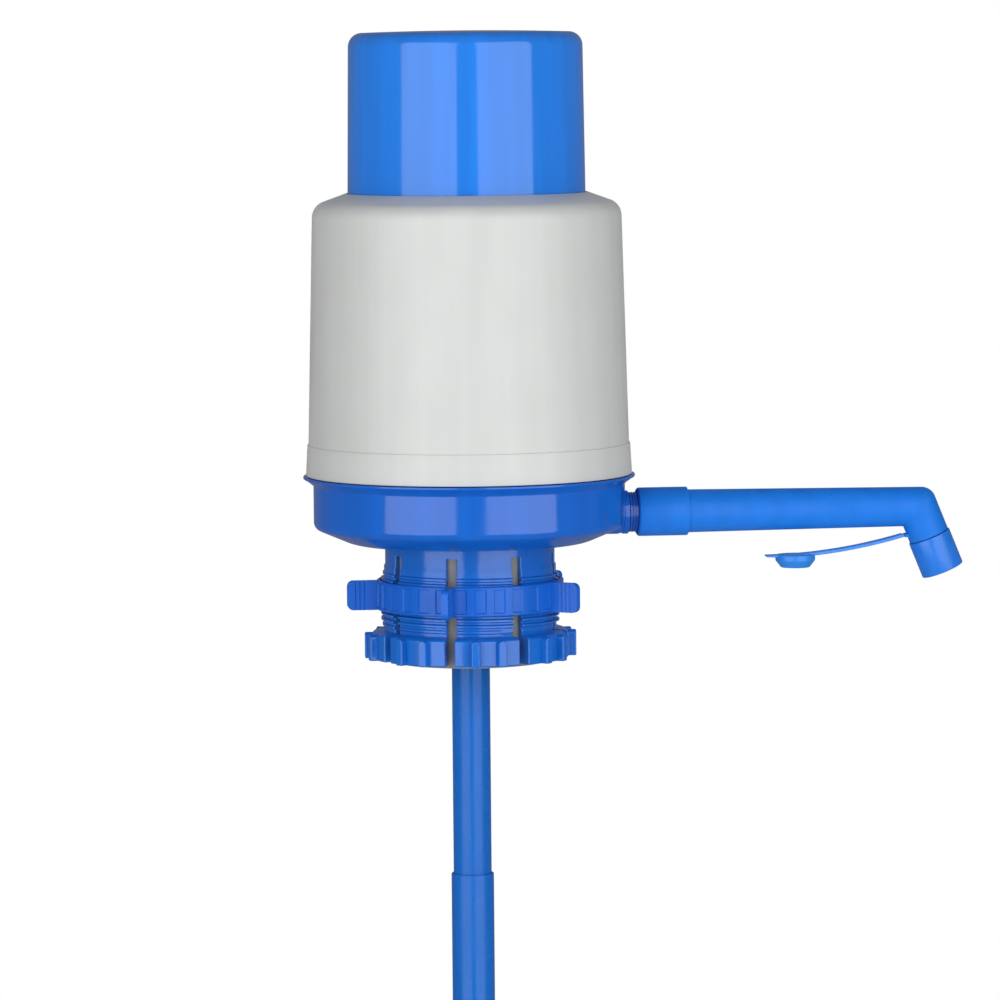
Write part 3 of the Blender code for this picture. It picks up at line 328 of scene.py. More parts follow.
def lathe(outline, segments=ROUND):
    """Turns an outline of (radius, height) round Z: closed, or solid where it ends on the axis."""
    points = []
    rings = []
    for radius, height in outline:
        if radius == 0:
            rings.append([len(points)] * segments)
            points.append(Vector((0, 0, height)))
            continue
        rings.append([len(points) + k for k in range(segments)])
        for k in range(segments):
            turn = 2 * math.pi * k / segments
            points.append(Vector((radius * math.cos(turn), radius * math.sin(turn), height)))
    pairs = list(zip(rings, rings[1:]))
    if outline[0][0] != 0:
        pairs.append((rings[-1], rings[0]))
    faces = []
    for lower, upper in pairs:
        for k in range(segments):
            after = (k + 1) % segments
            face = tuple(dict.fromkeys((lower[k], lower[after], upper[after], upper[k])))
            if len(face) > 2:
                faces.append(face)
    return points, faces


def loops(rings, closed=True):
    """Joins rings of points, each of the same count, into quads, and the last ring to the first."""
    points = [p for ring in rings for p in ring]
    size = len(rings[0])
    faces = []
    for k in range(len(rings) if closed else len(rings) - 1):
        here, there = k * size, (k + 1) % len(rings) * size
        for m in range(size):
            after = (m + 1) % size
            faces.append((here + m, here + after, there + after, there + m))
    return points, faces


def rod(rings):
    """Joins rings of points into a solid with a flat face at each end."""
    points, faces = loops(rings, closed=False)
    size = len(rings[0])
    last = (len(rings) - 1) * size
    return points, faces + [tuple(range(size)), tuple(range(last, last + size))]


def arc(centre_r, centre_z, radius, start, stop, steps):
    """Points along an arc, from one angle to another in degrees."""
    points = []
    for k in range(steps + 1):
        turn = math.radians(start + (stop - start) * k / steps)
        points.append((centre_r + radius * math.cos(turn), centre_z + radius * math.sin(turn)))
    return points


def soft_corners(outline, size, steps=3):
    """Rounds the sharp corners of a closed outline, apart from those on the axis."""
    points = []
    count = len(outline)
    for k, corner in enumerate(outline):
        here = Vector(corner)
        before = Vector(outline[k - 1]) - here
        after = Vector(outline[(k + 1) % count]) - here
        if corner[0] == 0 or before.angle(after, math.pi) > BLUNT_ANGLE:
            points.append(tuple(here))
            continue
        longest = CORNER_REACH_SHARE * min(before.length, after.length)
        reach = min(size, longest)
        start = here + before.normalized() * reach
        stop = here + after.normalized() * reach
        for step in range(steps + 1):
            share = step / steps
            points.append(tuple(start.lerp(here, share).lerp(here.lerp(stop, share), share)))
    return points


def placed(shape, matrix):
    """Moves a shape."""
    points, faces = shape
    return [matrix @ p for p in points], faces


def together(shapes):
    """Joins shapes into one."""
    points = []
    faces = []
    for more_points, more_faces in shapes:
        start = len(points)
        points += more_points
        faces += [tuple(start + k for k in face) for face in more_faces]
    return points, faces


def slab(outline, low, high):
    """Raises an outline in the XY plane into a solid between two heights."""
    count = len(outline)
    points = [Vector((x, y, height)) for height in (low, high) for x, y in outline]
    faces = [tuple(range(count)), tuple(range(count, 2 * count))]
    for k in range(count):
        after = (k + 1) % count
        faces.append((k, after, count + after, count + k))
    return points, faces


def hoop(centre, direction, radius):
    """A ring of points across a pipe that lies in the XZ plane."""
    side = Vector((0, 1, 0))
    up = direction.cross(side).normalized()
    turns = [2 * math.pi * k / TUBE_ROUND for k in range(TUBE_ROUND)]
    return [centre + radius * (math.cos(t) * side + math.sin(t) * up) for t in turns]


def spin(turn):
    """A turn round Z."""
    return Matrix.Rotation(turn, 4, "Z")


def shift(x=0.0, z=0.0):
    """A move along X and Z."""
    return Matrix.Translation((x, 0, z))


def around(shape, radius, count, phase):
    """Copies of a shape at even steps round Z."""
    turns = [phase + 2 * math.pi * k / count for k in range(count)]
    return together([placed(shape, spin(turn) @ shift(x=radius)) for turn in turns])


def along_x(shape):
    """Lays a shape turned round Z along the water port."""
    return placed(shape, shift(z=PORT_Z) @ Matrix.Rotation(math.pi / 2, 4, "Y"))


def add_piece(name, shape, material, body, *nodes, slot, bevel=0.0):
    """Makes a mesh piece that rides on a body and stands for CAD nodes."""
    points, faces = shape
    mesh = bpy.data.meshes.new(name)
    mesh.from_pydata([tuple(p) for p in points], [], faces)
    work = bmesh.new()
    work.from_mesh(mesh)
    bmesh.ops.recalc_face_normals(work, faces=work.faces)
    work.to_mesh(mesh)
    work.free()
    mesh.shade_smooth()
    mesh.set_sharp_from_angle(angle=SMOOTH_ANGLE)
    mesh.materials.append(material)
    piece = bpy.data.objects.new(name, mesh)
    bpy.context.scene.collection.objects.link(piece)
    if bevel:
        edge = piece.modifiers.new("edge", "BEVEL")
        edge.width = bevel
        edge.segments = 3
        edge.limit_method = "ANGLE"
        edge.angle_limit = BEVEL_ANGLE
        edge.harden_normals = True
    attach(piece, body)
    if nodes:
        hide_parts(*nodes)
    return piece


# Materials
def new_material(name):
    """A material, its nodes and its Principled shader."""
    material = bpy.data.materials.new(name)
    material.use_nodes = True
    tree = material.node_tree
    return material, tree, tree.nodes["Principled BSDF"]


def noise(tree, scale, detail=3.0, stretch=(1, 1, 1)):
    """Noise in object space, with features about 1 / scale metres across."""
    place = tree.nodes.new("ShaderNodeTexCoord")
    mapping = tree.nodes.new("ShaderNodeMapping")
    mapping.inputs["Scale"].default_value = stretch
    field = tree.nodes.new("ShaderNodeTexNoise")
    field.inputs["Scale"].default_value = scale
    field.inputs["Detail"].default_value = detail
    tree.links.new(place.outputs["Object"], mapping.inputs["Vector"])
    tree.links.new(mapping.outputs["Vector"], field.inputs["Vector"])
    return field.outputs["Fac"]


def spread(tree, value, low, high):
    """Maps noise to a range."""
    node = tree.nodes.new("ShaderNodeMapRange")
    node.interpolation_type = "SMOOTHSTEP"
    node.inputs["From Min"].default_value = NOISE_LOW
    node.inputs["From Max"].default_value = NOISE_HIGH
    node.inputs["To Min"].default_value = low
    node.inputs["To Max"].default_value = high
    tree.links.new(value, node.inputs["Value"])
    return node.outputs["Result"]


def tinted(tree, value, colour, depth):
    """Two near shades of one colour, mixed by a value."""
    ramp = tree.nodes.new("ShaderNodeValToRGB")
    ramp.color_ramp.interpolation = "EASE"
    dark, light = ramp.color_ramp.elements
    dark.position = NOISE_LOW
    light.position = NOISE_HIGH
    dark.color = (*[c * (1 - depth) for c in colour], 1)
    light.color = (*[min(1.0, c * (1 + depth)) for c in colour], 1)
    tree.links.new(value, ramp.inputs["Fac"])
    return ramp.outputs["Color"]


def bumps(tree, shader, fields):
    """Stacks bump nodes. A field is (value, strength, height in metres)."""
    normal = None
    for value, strength, height in fields:
        node = tree.nodes.new("ShaderNodeBump")
        node.inputs["Strength"].default_value = strength
        node.inputs["Distance"].default_value = height
        tree.links.new(value, node.inputs["Height"])
        if normal:
            tree.links.new(normal, node.inputs["Normal"])
        normal = node.outputs["Normal"]
    tree.links.new(normal, shader.inputs["Normal"])


def plastic(name, colour, roughness, depth=0.05, soft=0.06, grain=0.5, shine=0.5):
    """Moulded plastic: faint flow marks down the part, uneven gloss, a fine skin and hairlines."""
    material, tree, shader = new_material(name)
    flow = noise(tree, 160, 4, (1, 1, 0.06))
    tree.links.new(tinted(tree, flow, colour, depth), shader.inputs["Base Color"])
    smudge = noise(tree, 60, 5)
    gloss = spread(tree, smudge, roughness * 0.8, roughness * 1.25)
    tree.links.new(gloss, shader.inputs["Roughness"])
    skin = noise(tree, 1400, 2)
    waves = noise(tree, 45, 2, (1, 1, 0.3))
    hairlines = noise(tree, 900, 3, (1, 1, 0.04))
    bumps(tree, shader, [(waves, 0.15, 0.10 * MM), (skin, grain * 0.1, 0.02 * MM),
                         (hairlines, 0.05, 0.02 * MM)])
    shader.inputs["Subsurface Weight"].default_value = soft
    shader.inputs["Subsurface Radius"].default_value = (0.4, 0.5, 1.0)
    shader.inputs["Subsurface Scale"].default_value = 0.002
    shader.inputs["IOR"].default_value = 1.5
    shader.inputs["Specular IOR Level"].default_value = shine
    return material


def rubber(name, colour, roughness):
    """Soft rubber: matt, with a dusty bloom and a fine pebbled skin."""
    material, tree, shader = new_material(name)
    bloom = noise(tree, 90, 6)
    tree.links.new(tinted(tree, bloom, colour, 0.14), shader.inputs["Base Color"])
    gloss = spread(tree, noise(tree, 200, 3), roughness * 0.9, roughness * 1.1)
    tree.links.new(gloss, shader.inputs["Roughness"])
    bumps(tree, shader, [(noise(tree, 900, 3), 0.3, 0.04 * MM)])
    shader.inputs["Specular IOR Level"].default_value = 0.35
    return material


def metal(name, colour, roughness):
    """Plated steel with drawing lines."""
    material, tree, shader = new_material(name)
    tree.links.new(tinted(tree, noise(tree, 300, 4), colour, 0.08), shader.inputs["Base Color"])
    gloss = spread(tree, noise(tree, 700, 4), roughness * 0.7, roughness * 1.4)
    tree.links.new(gloss, shader.inputs["Roughness"])
    bumps(tree, shader, [(noise(tree, 2500, 2, (1, 1, 0.1)), 0.25, 0.01 * MM)])
    shader.inputs["Metallic"].default_value = 1.0
    return material


CAP = plastic("cap_blue", (0.016, 0.19, 0.72), 0.1)
SHELL = plastic("barrel_white", (0.55, 0.562, 0.553), 0.42, 0.02, 0.12)
BASE = plastic("base_blue", (0.006, 0.11, 0.52), 0.12)
COLLET = plastic("collet_blue", (0.007, 0.13, 0.54), 0.16)
RING = plastic("ring_blue", (0.008, 0.115, 0.55), 0.24, shine=0.25)
SPOUT = plastic("spout_blue", (0.008, 0.17, 0.68), 0.5, 0.05, 0.12, shine=0.2)
NOZZLE = plastic("nozzle_blue", (0.010, 0.17, 0.68), 0.28, 0.05, 0.12, grain=0.1)
STRAP = plastic("strap_blue", (0.02, 0.22, 0.72), 0.3, 0.05, 0.15)
NIPPLE = plastic("nipple_blue", (0.008, 0.09, 0.50), 0.2)
TUBE = plastic("tube_blue", (0.006, 0.125, 0.50), 0.25, 0.05, 0.15, shine=0.28)
INNER = plastic("inner_white", (0.74, 0.74, 0.70), 0.45, 0.03, 0.1)
GREY_RUBBER = rubber("grey_rubber", (0.22, 0.225, 0.22), 0.6)
BELLOWS_RUBBER = rubber("bellows_rubber", (0.33, 0.34, 0.35), 0.5)
BLACK_RUBBER = rubber("black_rubber", (0.022, 0.022, 0.024), 0.5)
SPRING_STEEL = metal("spring_steel", (0.56, 0.57, 0.58), 0.25)
SCREW_STEEL = metal("screw_steel", (0.66, 0.66, 0.64), 0.3)


# Pieces
def make_barrel():
    """The white shell: a sloped top round the cap, a rounded shoulder, a taper and a foot band."""
    low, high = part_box("barrel")
    bottom, top = low.z, high.z
    foot_r = high.x
    mouth_r = CAP_SKIRT_R + MOUTH_CLEARANCE
    band = bottom + BAND_HEIGHT
    corner_r = SHOULDER_R - SHOULDER_ROUND
    edge_r = corner_r + SHOULDER_ROUND * math.sin(SHOULDER_SLOPE)
    edge_z = top - (edge_r - mouth_r) * math.tan(SHOULDER_SLOPE)
    corner_z = edge_z - SHOULDER_ROUND * math.cos(SHOULDER_SLOPE)
    steep = 90 - math.degrees(SHOULDER_SLOPE)
    outside = arc(corner_r, corner_z, SHOULDER_ROUND, steep, 0, 24)
    inside = arc(corner_r, corner_z, SHOULDER_ROUND - WALL, 0, steep, 12)
    spigot_top = FLANGE_Z + SPIGOT_HEIGHT + GAP
    outline = [(mouth_r, top)] + outside + [
        (BAND_TOP_R, band),
        (BAND_TOP_R + BAND_STEP, band),
        (foot_r, bottom),
        (foot_r - WALL, bottom),
        (foot_r - WALL, spigot_top),
        (BAND_TOP_R - WALL, band),
    ] + inside + [(mouth_r, top - WALL / math.cos(SHOULDER_SLOPE))]
    shape = lathe(soft_corners(outline, FINE_EDGE))
    add_piece("barrel_shell", shape, SHELL, "pump_body", "barrel", slot="barrel_plastic")


def make_cap():
    """The press cap: a faint crown, a rounded edge, and a skirt that widens inside the barrel."""
    low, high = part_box("press_cap")
    top = high.z - CAP_CROWN
    rim_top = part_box("barrel")[1].z - WALL - GAP
    rim_r = high.x
    centre_r = CAP_TOP_R - CAP_EDGE
    edge = arc(centre_r, top - CAP_EDGE, CAP_EDGE, 90, 0, 16)
    inner_edge = arc(centre_r, top - CAP_EDGE, CAP_EDGE - WALL, 0, 90, 8)
    crown = [(0, top + CAP_CROWN)]
    for k in range(1, CAP_CROWN_STEPS):
        fall = (k / CAP_CROWN_STEPS) ** 2
        crown.append((centre_r * k / CAP_CROWN_STEPS, top + CAP_CROWN * (1 - fall)))
    outline = crown + edge + [
        (CAP_SKIRT_R, rim_top),
        (rim_r, rim_top - (rim_r - CAP_SKIRT_R) * math.tan(SHOULDER_SLOPE)),
        (rim_r, low.z),
        (CAP_RIM_INNER_R, low.z),
        (CAP_RIM_INNER_R, rim_top),
        (CAP_SKIRT_R - WALL, rim_top + CAP_RIM_TAPER),
    ] + inner_edge + [(0, top + CAP_CROWN - WALL)]
    add_piece("press_cap_shell", lathe(outline), CAP, "press_cap", "press_cap", slot="cap_plastic")


def make_base():
    """The bowl under the barrel, with its flange, spigot, screw posts and the water port's boss."""
    low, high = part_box("base")
    bottom, top = low.z, high.z
    flange_r = -low.x
    inner_r = BOWL_R - BOWL_WALL
    floor_z = bottom + FLOOR_THICKNESS
    spigot_inner_r = SPIGOT_R - BOWL_WALL
    corner_r = BOWL_R - BOWL_ROUND
    edge_r = corner_r + BOWL_ROUND * math.sin(BOWL_SLOPE)
    rise = math.tan(BOWL_SLOPE)
    corner_z = bottom + (edge_r - BOWL_FLAT_R) * rise + BOWL_ROUND * math.cos(BOWL_SLOPE)
    steep = math.degrees(BOWL_SLOPE) - 90
    half_run = BOWL_FOOT_STEPS
    foot = []
    for k in range(half_run, -half_run - 1, -1):
        height = rise * BOWL_FOOT * (k + half_run) ** 2 / (4 * half_run ** 2)
        foot.append((BOWL_FLAT_R + BOWL_FOOT * k / half_run, bottom + height))
    cone_end = FLANGE_Z - FLANGE_DROP
    outline = [
        (SPIGOT_R, top),
        (SPIGOT_R, FLANGE_Z),
        (flange_r, FLANGE_Z),
        (flange_r, FLANGE_Z - FLANGE_LIP),
        (flange_r - FLANGE_LIP, FLANGE_Z - FLANGE_LIP - FLANGE_STEP),
        (BOWL_R + FLANGE_STEP, cone_end),
        (BOWL_R, cone_end - FLANGE_STEP),
    ] + arc(corner_r, corner_z, BOWL_ROUND, 0, steep, 16) + foot + [
        (NECK_R + GAP, bottom),
        (NECK_R + GAP, floor_z),
        (BOWL_FLAT_R, floor_z),
        (inner_r, floor_z + (inner_r - BOWL_FLAT_R) * rise),
        (inner_r, LEDGE_TOP_Z - LEDGE_DEPTH),
        (LEDGE_R, LEDGE_TOP_Z - LEDGE_THICKNESS),
        (LEDGE_R, LEDGE_TOP_Z),
        (spigot_inner_r, LEDGE_TOP_Z),
        (spigot_inner_r, top),
    ]
    post = lathe([(POST_HOLE_R, POST_FOOT_Z), (POST_R, POST_FOOT_Z), (POST_R, POST_TOP_Z),
                  (POST_HOLE_R, POST_TOP_Z)], SMALL_ROUND)
    groove_r = PORT_BOSS_R - BOSS_GROOVE_DEPTH
    radii = (PORT_BOSS_R, groove_r, groove_r, PORT_BOSS_R)
    groove = [(radius, PORT_BOSS_END - back) for radius, back in zip(radii, BOSS_GROOVE_FROM_END)]
    boss = lathe(soft_corners([
        (PIPE_R + GAP, PORT_BOSS_START),
        (PORT_BOSS_R, PORT_BOSS_START),
        *groove,
        (PORT_BOSS_R, PORT_BOSS_END),
        (PIPE_R + GAP, PORT_BOSS_END),
    ], BASE_EDGE), TUBE_ROUND)
    posts = around(post, POST_CIRCLE_R, POST_COUNT, POST_PHASE)
    shape = together([lathe(soft_corners(outline, BASE_EDGE)), posts, along_x(boss)])
    add_piece("base_bowl", shape, BASE, "pump_body", "base", slot="base_plastic")


def thread_outline(turn_share):
    """The collet's outer face below its slots' tops, at a share of the thread's turn."""
    points = [(NECK_R, SLOT_TOP_Z), (NECK_R, ROOT_START_Z), (THREAD_ROOT_R, ROOT_FULL_Z)]
    height = THREAD_R - THREAD_ROOT_R
    for k in range(THREAD_TURNS):
        start = THREAD_TOP_Z - (k + turn_share) * THREAD_PITCH
        fade = 1.0
        if k == 0:
            fade = turn_share
        elif k == THREAD_TURNS - 1:
            fade = 1 - turn_share
        crest = THREAD_ROOT_R + height * max(fade, THREAD_LEAST_SHARE)
        points += [
            (THREAD_ROOT_R, start),
            (crest, start - CREST_START_SHARE * THREAD_PITCH),
            (crest, start - CREST_END_SHARE * THREAD_PITCH),
            (THREAD_ROOT_R, start - THREAD_END_SHARE * THREAD_PITCH),
        ]
    foot_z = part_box("neck_collet")[0].z
    return points + [
        (THREAD_ROOT_R, TOE_START_Z),
        (TOE_R - TOE_SLOPE, TOE_SLOPE_Z),
        (TOE_R - TOE_CORNER, TOE_TOP_Z + TOE_CORNER_RISE),
        (TOE_R, TOE_TOP_Z - TOE_CORNER_FALL),
        (TOE_R, foot_z + TOE_EDGE),
        (TOE_R - TOE_EDGE, foot_z),
        (NECK_BORE_R, foot_z),
        (NECK_BORE_R, SLOT_TOP_Z),
    ]


def make_finger(index):
    """One finger between two slots, whose sides are parallel to the slots' middles."""
    start = SLOT_PHASE + 2 * math.pi * index / SLOT_COUNT
    span = 2 * math.pi / SLOT_COUNT
    rings = []
    shares = [(k + 1) / (FINGER_STEPS + 1) for k in range(FINGER_STEPS)]
    for share in [0.0, FINGER_EDGE_SHARE, *shares, 1 - FINGER_EDGE_SHARE, 1.0]:
        ring = []
        inset = FINE_EDGE if share in (0.0, 1.0) else 0.0
        for radius, height in thread_outline((index + share) / SLOT_COUNT):
            if radius > NECK_BORE_R:
                radius -= inset
            edge = math.asin(SLOT_HALF / radius)
            turn = start + edge + (span - 2 * edge) * share
            ring.append(Vector((radius * math.cos(turn), radius * math.sin(turn), height)))
        rings.append(ring)
    return rod(rings)


def make_collet():
    """The neck collet: its flange and web, eight threaded fingers and two ribs on each toe."""
    low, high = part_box("neck_collet")
    flange_low = high.z - COLLET_FLANGE_THICKNESS
    ring = lathe([
        (COLLET_FLANGE_R, flange_low),
        (NECK_R, flange_low),
        (NECK_R, SLOT_TOP_Z),
        (NECK_BORE_R, SLOT_TOP_Z),
        (NECK_BORE_R, COLLET_WEB_LOW),
        (COLLET_WEB_R, COLLET_WEB_LOW),
        (COLLET_WEB_R, COLLET_WEB_HIGH),
        (NECK_BORE_R, COLLET_WEB_HIGH),
        (NECK_BORE_R, high.z),
        (COLLET_FLANGE_R, high.z),
    ])
    shape = together([ring] + [make_finger(k) for k in range(SLOT_COUNT)])
    add_piece("collet_fingers", shape, COLLET, "pump_body", "neck_collet", slot="collet_plastic")
    crown = arc(0, RIB_TOP_Z - RIB_HALF, RIB_HALF, 0, 180, 12)
    face = [(-RIB_HALF, low.z), (RIB_HALF, low.z)] + crown
    stand = Matrix(((0, 0, 1, 0), (1, 0, 0, 0), (0, 1, 0, 0), (0, 0, 0, 1)))
    rib = slab(face, TOE_R - RIB_ROOT, RIB_R)
    ribs = []
    for k in range(SLOT_COUNT):
        middle = SLOT_PHASE + 2 * math.pi * (k + 0.5) / SLOT_COUNT
        for side in (-1, 1):
            ribs.append(placed(rib, spin(middle + side * RIB_SPREAD) @ stand))
    add_piece("collet_ribs", together(ribs), COLLET, "pump_body", bevel=RIB_EDGE,
              slot="collet_plastic")


def make_wing(low, high):
    """A wing of the ring, as upright frames from root to tip, with grooves across its faces."""
    frames = [(RING_R - WING_ROOT, 0, 0)]
    for middle in WING_GROOVES:
        frames += [
            (middle - WING_GROOVE_HALF, 0, 0),
            (middle - WING_GROOVE_FLOOR_HALF, WING_GROOVE_DEPTH, 0),
            (middle + WING_GROOVE_FLOOR_HALF, WING_GROOVE_DEPTH, 0),
            (middle + WING_GROOVE_HALF, 0, 0),
        ]
    for k in range(WING_CORNER_STEPS + 1):
        turn = math.pi / 2 * k / WING_CORNER_STEPS
        reach = WING_TIP_R - WING_CORNER * (1 - math.sin(turn))
        frames.append((reach, 0, WING_CORNER * (1 - math.cos(turn))))
    rings = []
    for reach, sunk, cut in frames:
        half = WING_HALF - sunk
        bottom, top = low + cut, high - cut
        corners = ((-half, bottom), (half, bottom), (half, top), (-half, top))
        rings.append([Vector((reach, side, height)) for side, height in corners])
    return rod(rings)


def make_ring():
    """The clamp ring: upright frames round its axis, sunk where a flute is, and five wings."""
    low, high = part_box("clamp_ring")
    rim = FLUTE_RIM + FLUTE_END
    rows = [
        (low.z, RING_EDGE, False),
        (low.z + RING_EDGE, 0, False),
        (low.z + FLUTE_RIM, 0, False),
        (low.z + rim, 0, True),
        (high.z - rim, 0, True),
        (high.z - FLUTE_RIM, 0, False),
        (high.z - RING_EDGE, 0, False),
        (high.z, RING_EDGE, False),
    ]
    pitch = 2 * math.pi / FLUTE_COUNT
    half = pitch * FLUTE_SHARE / 2
    land = (pitch / 2 + half) / 2
    floor = half - FLUTE_SIDE
    stations = [(-pitch / 2, False), (-land, False), (-half, False), (-floor, True),
                (-half / 3, True), (half / 3, True), (floor, True), (half, False), (land, False)]
    rings = []
    for k in range(FLUTE_COUNT):
        middle = WING_PHASE + (k + 0.5) * pitch
        for offset, sunk in stations:
            out = Vector((math.cos(middle + offset), math.sin(middle + offset), 0))
            ring = []
            for height, cut, fluted in rows:
                radius = RING_R - cut - (FLUTE_DEPTH if fluted and sunk else 0)
                ring.append(radius * out + Vector((0, 0, height)))
            ring += [RING_BORE_R * out + Vector((0, 0, height)) for height in (high.z, low.z)]
            rings.append(ring)
    add_piece("clamp_ring_body", loops(rings), RING, "clamp_ring", "clamp_ring",
              slot="ring_plastic")
    wings = around(make_wing(low.z, high.z), 0, WING_COUNT, WING_PHASE)
    add_piece("clamp_wings", wings, RING, "clamp_ring", bevel=WING_EDGE, slot="ring_plastic")


def tube(node, inner_r, outer_r):
    """The outline of a plain tube that is as high as a CAD node."""
    low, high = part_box(node)
    return [(inner_r, low.z), (outer_r, low.z), (outer_r, high.z), (inner_r, high.z)]


def make_neck_rubber():
    liner = lathe(soft_corners(tube("neck_sleeve", LINER_INNER_R, LINER_R), FINE_EDGE))
    add_piece("neck_liner", liner, GREY_RUBBER, "pump_body", "neck_sleeve", slot="neck_rubber")
    washer = lathe(soft_corners(tube("rim_gasket", WASHER_INNER_R, WASHER_R), WASHER_EDGE))
    add_piece("rim_washer", washer, GREY_RUBBER, "pump_body", "rim_gasket", slot="neck_rubber")


def make_elbow():
    """The water elbow: the grooved nipple, its pipe, the bend and the pipe down to the neck."""
    inwards = Vector((-1, 0, 0))
    down = Vector((0, 0, -1))

    def at(x, radius):
        return hoop(Vector((x, 0, PORT_Z)), inwards, radius)

    def bend(radius):
        centre = Vector((ELBOW_RADIUS, 0, PORT_Z - ELBOW_RADIUS))
        run = []
        for k in range(ELBOW_STEPS + 1):
            turn = math.pi / 2 * k / ELBOW_STEPS
            place = centre + ELBOW_RADIUS * Vector((-math.sin(turn), 0, math.cos(turn)))
            run.append(hoop(place, Vector((-math.cos(turn), 0, -math.sin(turn))), radius))
        return run

    drop_top = Vector((0, 0, PORT_Z - ELBOW_RADIUS - GAP))
    drop_end = Vector((0, 0, DROP_PIPE_Z))
    rings = [at(NIPPLE_END_X, NIPPLE_R - NIPPLE_EDGE), at(NIPPLE_END_X - NIPPLE_EDGE, NIPPLE_R)]
    for back in GROOVES_FROM_TIP:
        middle = NIPPLE_END_X - back
        rings += [at(middle + GROOVE_HALF, NIPPLE_R), at(middle + GROOVE_HALF, GROOVE_R),
                  at(middle - GROOVE_HALF, GROOVE_R), at(middle - GROOVE_HALF, NIPPLE_R)]
    valley_r = NIPPLE_R - VALLEY_DEPTH
    for x in NIPPLE_VALLEYS:
        rings += [at(x + VALLEY_START, NIPPLE_R), at(x, valley_r), at(x - VALLEY_FLOOR, valley_r),
                  at(x - VALLEY_END, NIPPLE_R)]
    rings += [at(NIPPLE_START_X, NIPPLE_R), at(NIPPLE_START_X, PIPE_R)]
    rings += bend(PIPE_R)
    rings += [hoop(drop_top, down, DROP_PIPE_R), hoop(drop_end, down, DROP_PIPE_R)]
    rings += [hoop(drop_end, down, WATER_BORE_R)]
    rings += bend(WATER_BORE_R)[::-1]
    rings += [at(NIPPLE_END_X, WATER_BORE_R)]
    add_piece("elbow_pipe", loops(rings), NIPPLE, "pump_body", "water_elbow", slot="nipple_plastic")


def bend_hoop(share, radius):
    """A ring of points in the spout's bend, at a share of its turn, rounded more on its outside."""
    turn = BEND_ANGLE * share
    corner = Vector((BEND_X, 0, PORT_Z))
    out = Vector((math.sin(BEND_ANGLE), 0, math.cos(BEND_ANGLE))) + Vector((0, 0, 1))
    mitre = out / (1 + math.cos(BEND_ANGLE))
    facing = Vector((math.sin(turn), 0, math.cos(turn)))
    growth = (BEND_OUTER_ROUND - BEND_INNER_ROUND) / (2 * NOZZLE_R)
    ring = []
    for k in range(TUBE_ROUND):
        place = 2 * math.pi * k / TUBE_ROUND
        height = radius * math.sin(place)
        size = (BEND_OUTER_ROUND + BEND_INNER_ROUND) / 2 + growth * height
        side = Vector((0, radius * math.cos(place), 0))
        ring.append(corner + side + (height - size) * mitre + size * facing)
    return ring


def nozzle_hoop(from_corner, radius):
    """A ring of points across the nozzle, at a distance from the bend's corner."""
    down = Vector((math.cos(BEND_ANGLE), 0, -math.sin(BEND_ANGLE)))
    return hoop(Vector((BEND_X, 0, PORT_Z)) + from_corner * down, down, radius)


def make_spout():
    """The spout's socket, tapered tube, bend and strap stub in one, and its nozzle's sleeve."""
    along = Vector((1, 0, 0))

    def at(x, radius):
        return hoop(Vector((x, 0, PORT_Z)), along, radius)

    step = NOZZLE_LENGTH - SLEEVE_LENGTH
    soft = FINE_EDGE
    middle = soft * CORNER_SHARE
    chamfer = SOCKET_CHAMFER * CHAMFER_SHARE
    nipple_stop_x = NIPPLE_END_X + GAP
    shares = [k / BEND_STEPS for k in range(BEND_STEPS + 1)]
    rings = [
        at(SOCKET_START_X, SOCKET_R - SOCKET_CHAMFER),
        at(SOCKET_START_X + chamfer, SOCKET_R - chamfer),
        at(SOCKET_START_X + SOCKET_CHAMFER, SOCKET_R),
        at(SOCKET_END_X - soft, SOCKET_R),
        at(SOCKET_END_X - middle, SOCKET_R - middle),
        at(SOCKET_END_X, SOCKET_R - soft),
        at(SOCKET_END_X, SPOUT_START_R + soft),
        at(SOCKET_END_X + middle, SPOUT_START_R + middle),
        at(SOCKET_END_X + soft, SPOUT_START_R),
    ]
    rings += [bend_hoop(share, SPOUT_END_R + (NOZZLE_R - SPOUT_END_R) * share) for share in shares]
    rings += [nozzle_hoop(step, NOZZLE_R), nozzle_hoop(step, NOZZLE_SPIGOT_R)]
    rings += [nozzle_hoop(NOZZLE_LENGTH, NOZZLE_SPIGOT_R), nozzle_hoop(NOZZLE_LENGTH, MOUTH_BORE_R)]
    rings += [bend_hoop(share, SPOUT_BORE_R) for share in shares[::-1]]
    rings += [at(nipple_stop_x, SPOUT_BORE_R), at(nipple_stop_x, SOCKET_BORE_R)]
    rings.append(at(SOCKET_START_X, SOCKET_BORE_R))
    half = STRAP_HALF
    lug = slab([(half + GAP, -half), (LUG_REACH, -half), (LUG_REACH, half), (half + GAP, half)],
               -STRAP_SIDE, STRAP_SIDE)
    shape = together([loops(rings), placed(lug, STRAP_FRAME)])
    add_piece("spout_tube", shape, SPOUT, "spout", "spout", slot="spout_plastic")
    start = step + GAP
    bore = NOZZLE_SPIGOT_R + SLEEVE_CLEARANCE
    sleeve = loops([
        nozzle_hoop(start, SLEEVE_R - soft),
        nozzle_hoop(start + middle, SLEEVE_R - middle),
        nozzle_hoop(start + soft, SLEEVE_R),
        nozzle_hoop(NOZZLE_LENGTH - soft, SLEEVE_R),
        nozzle_hoop(NOZZLE_LENGTH - middle, SLEEVE_R - middle),
        nozzle_hoop(NOZZLE_LENGTH, SLEEVE_R - soft),
        nozzle_hoop(NOZZLE_LENGTH, bore),
        nozzle_hoop(start, bore),
    ])
    add_piece("nozzle_collar", sleeve, NOZZLE, "spout", "nozzle_sleeve", slot="spout_plastic")


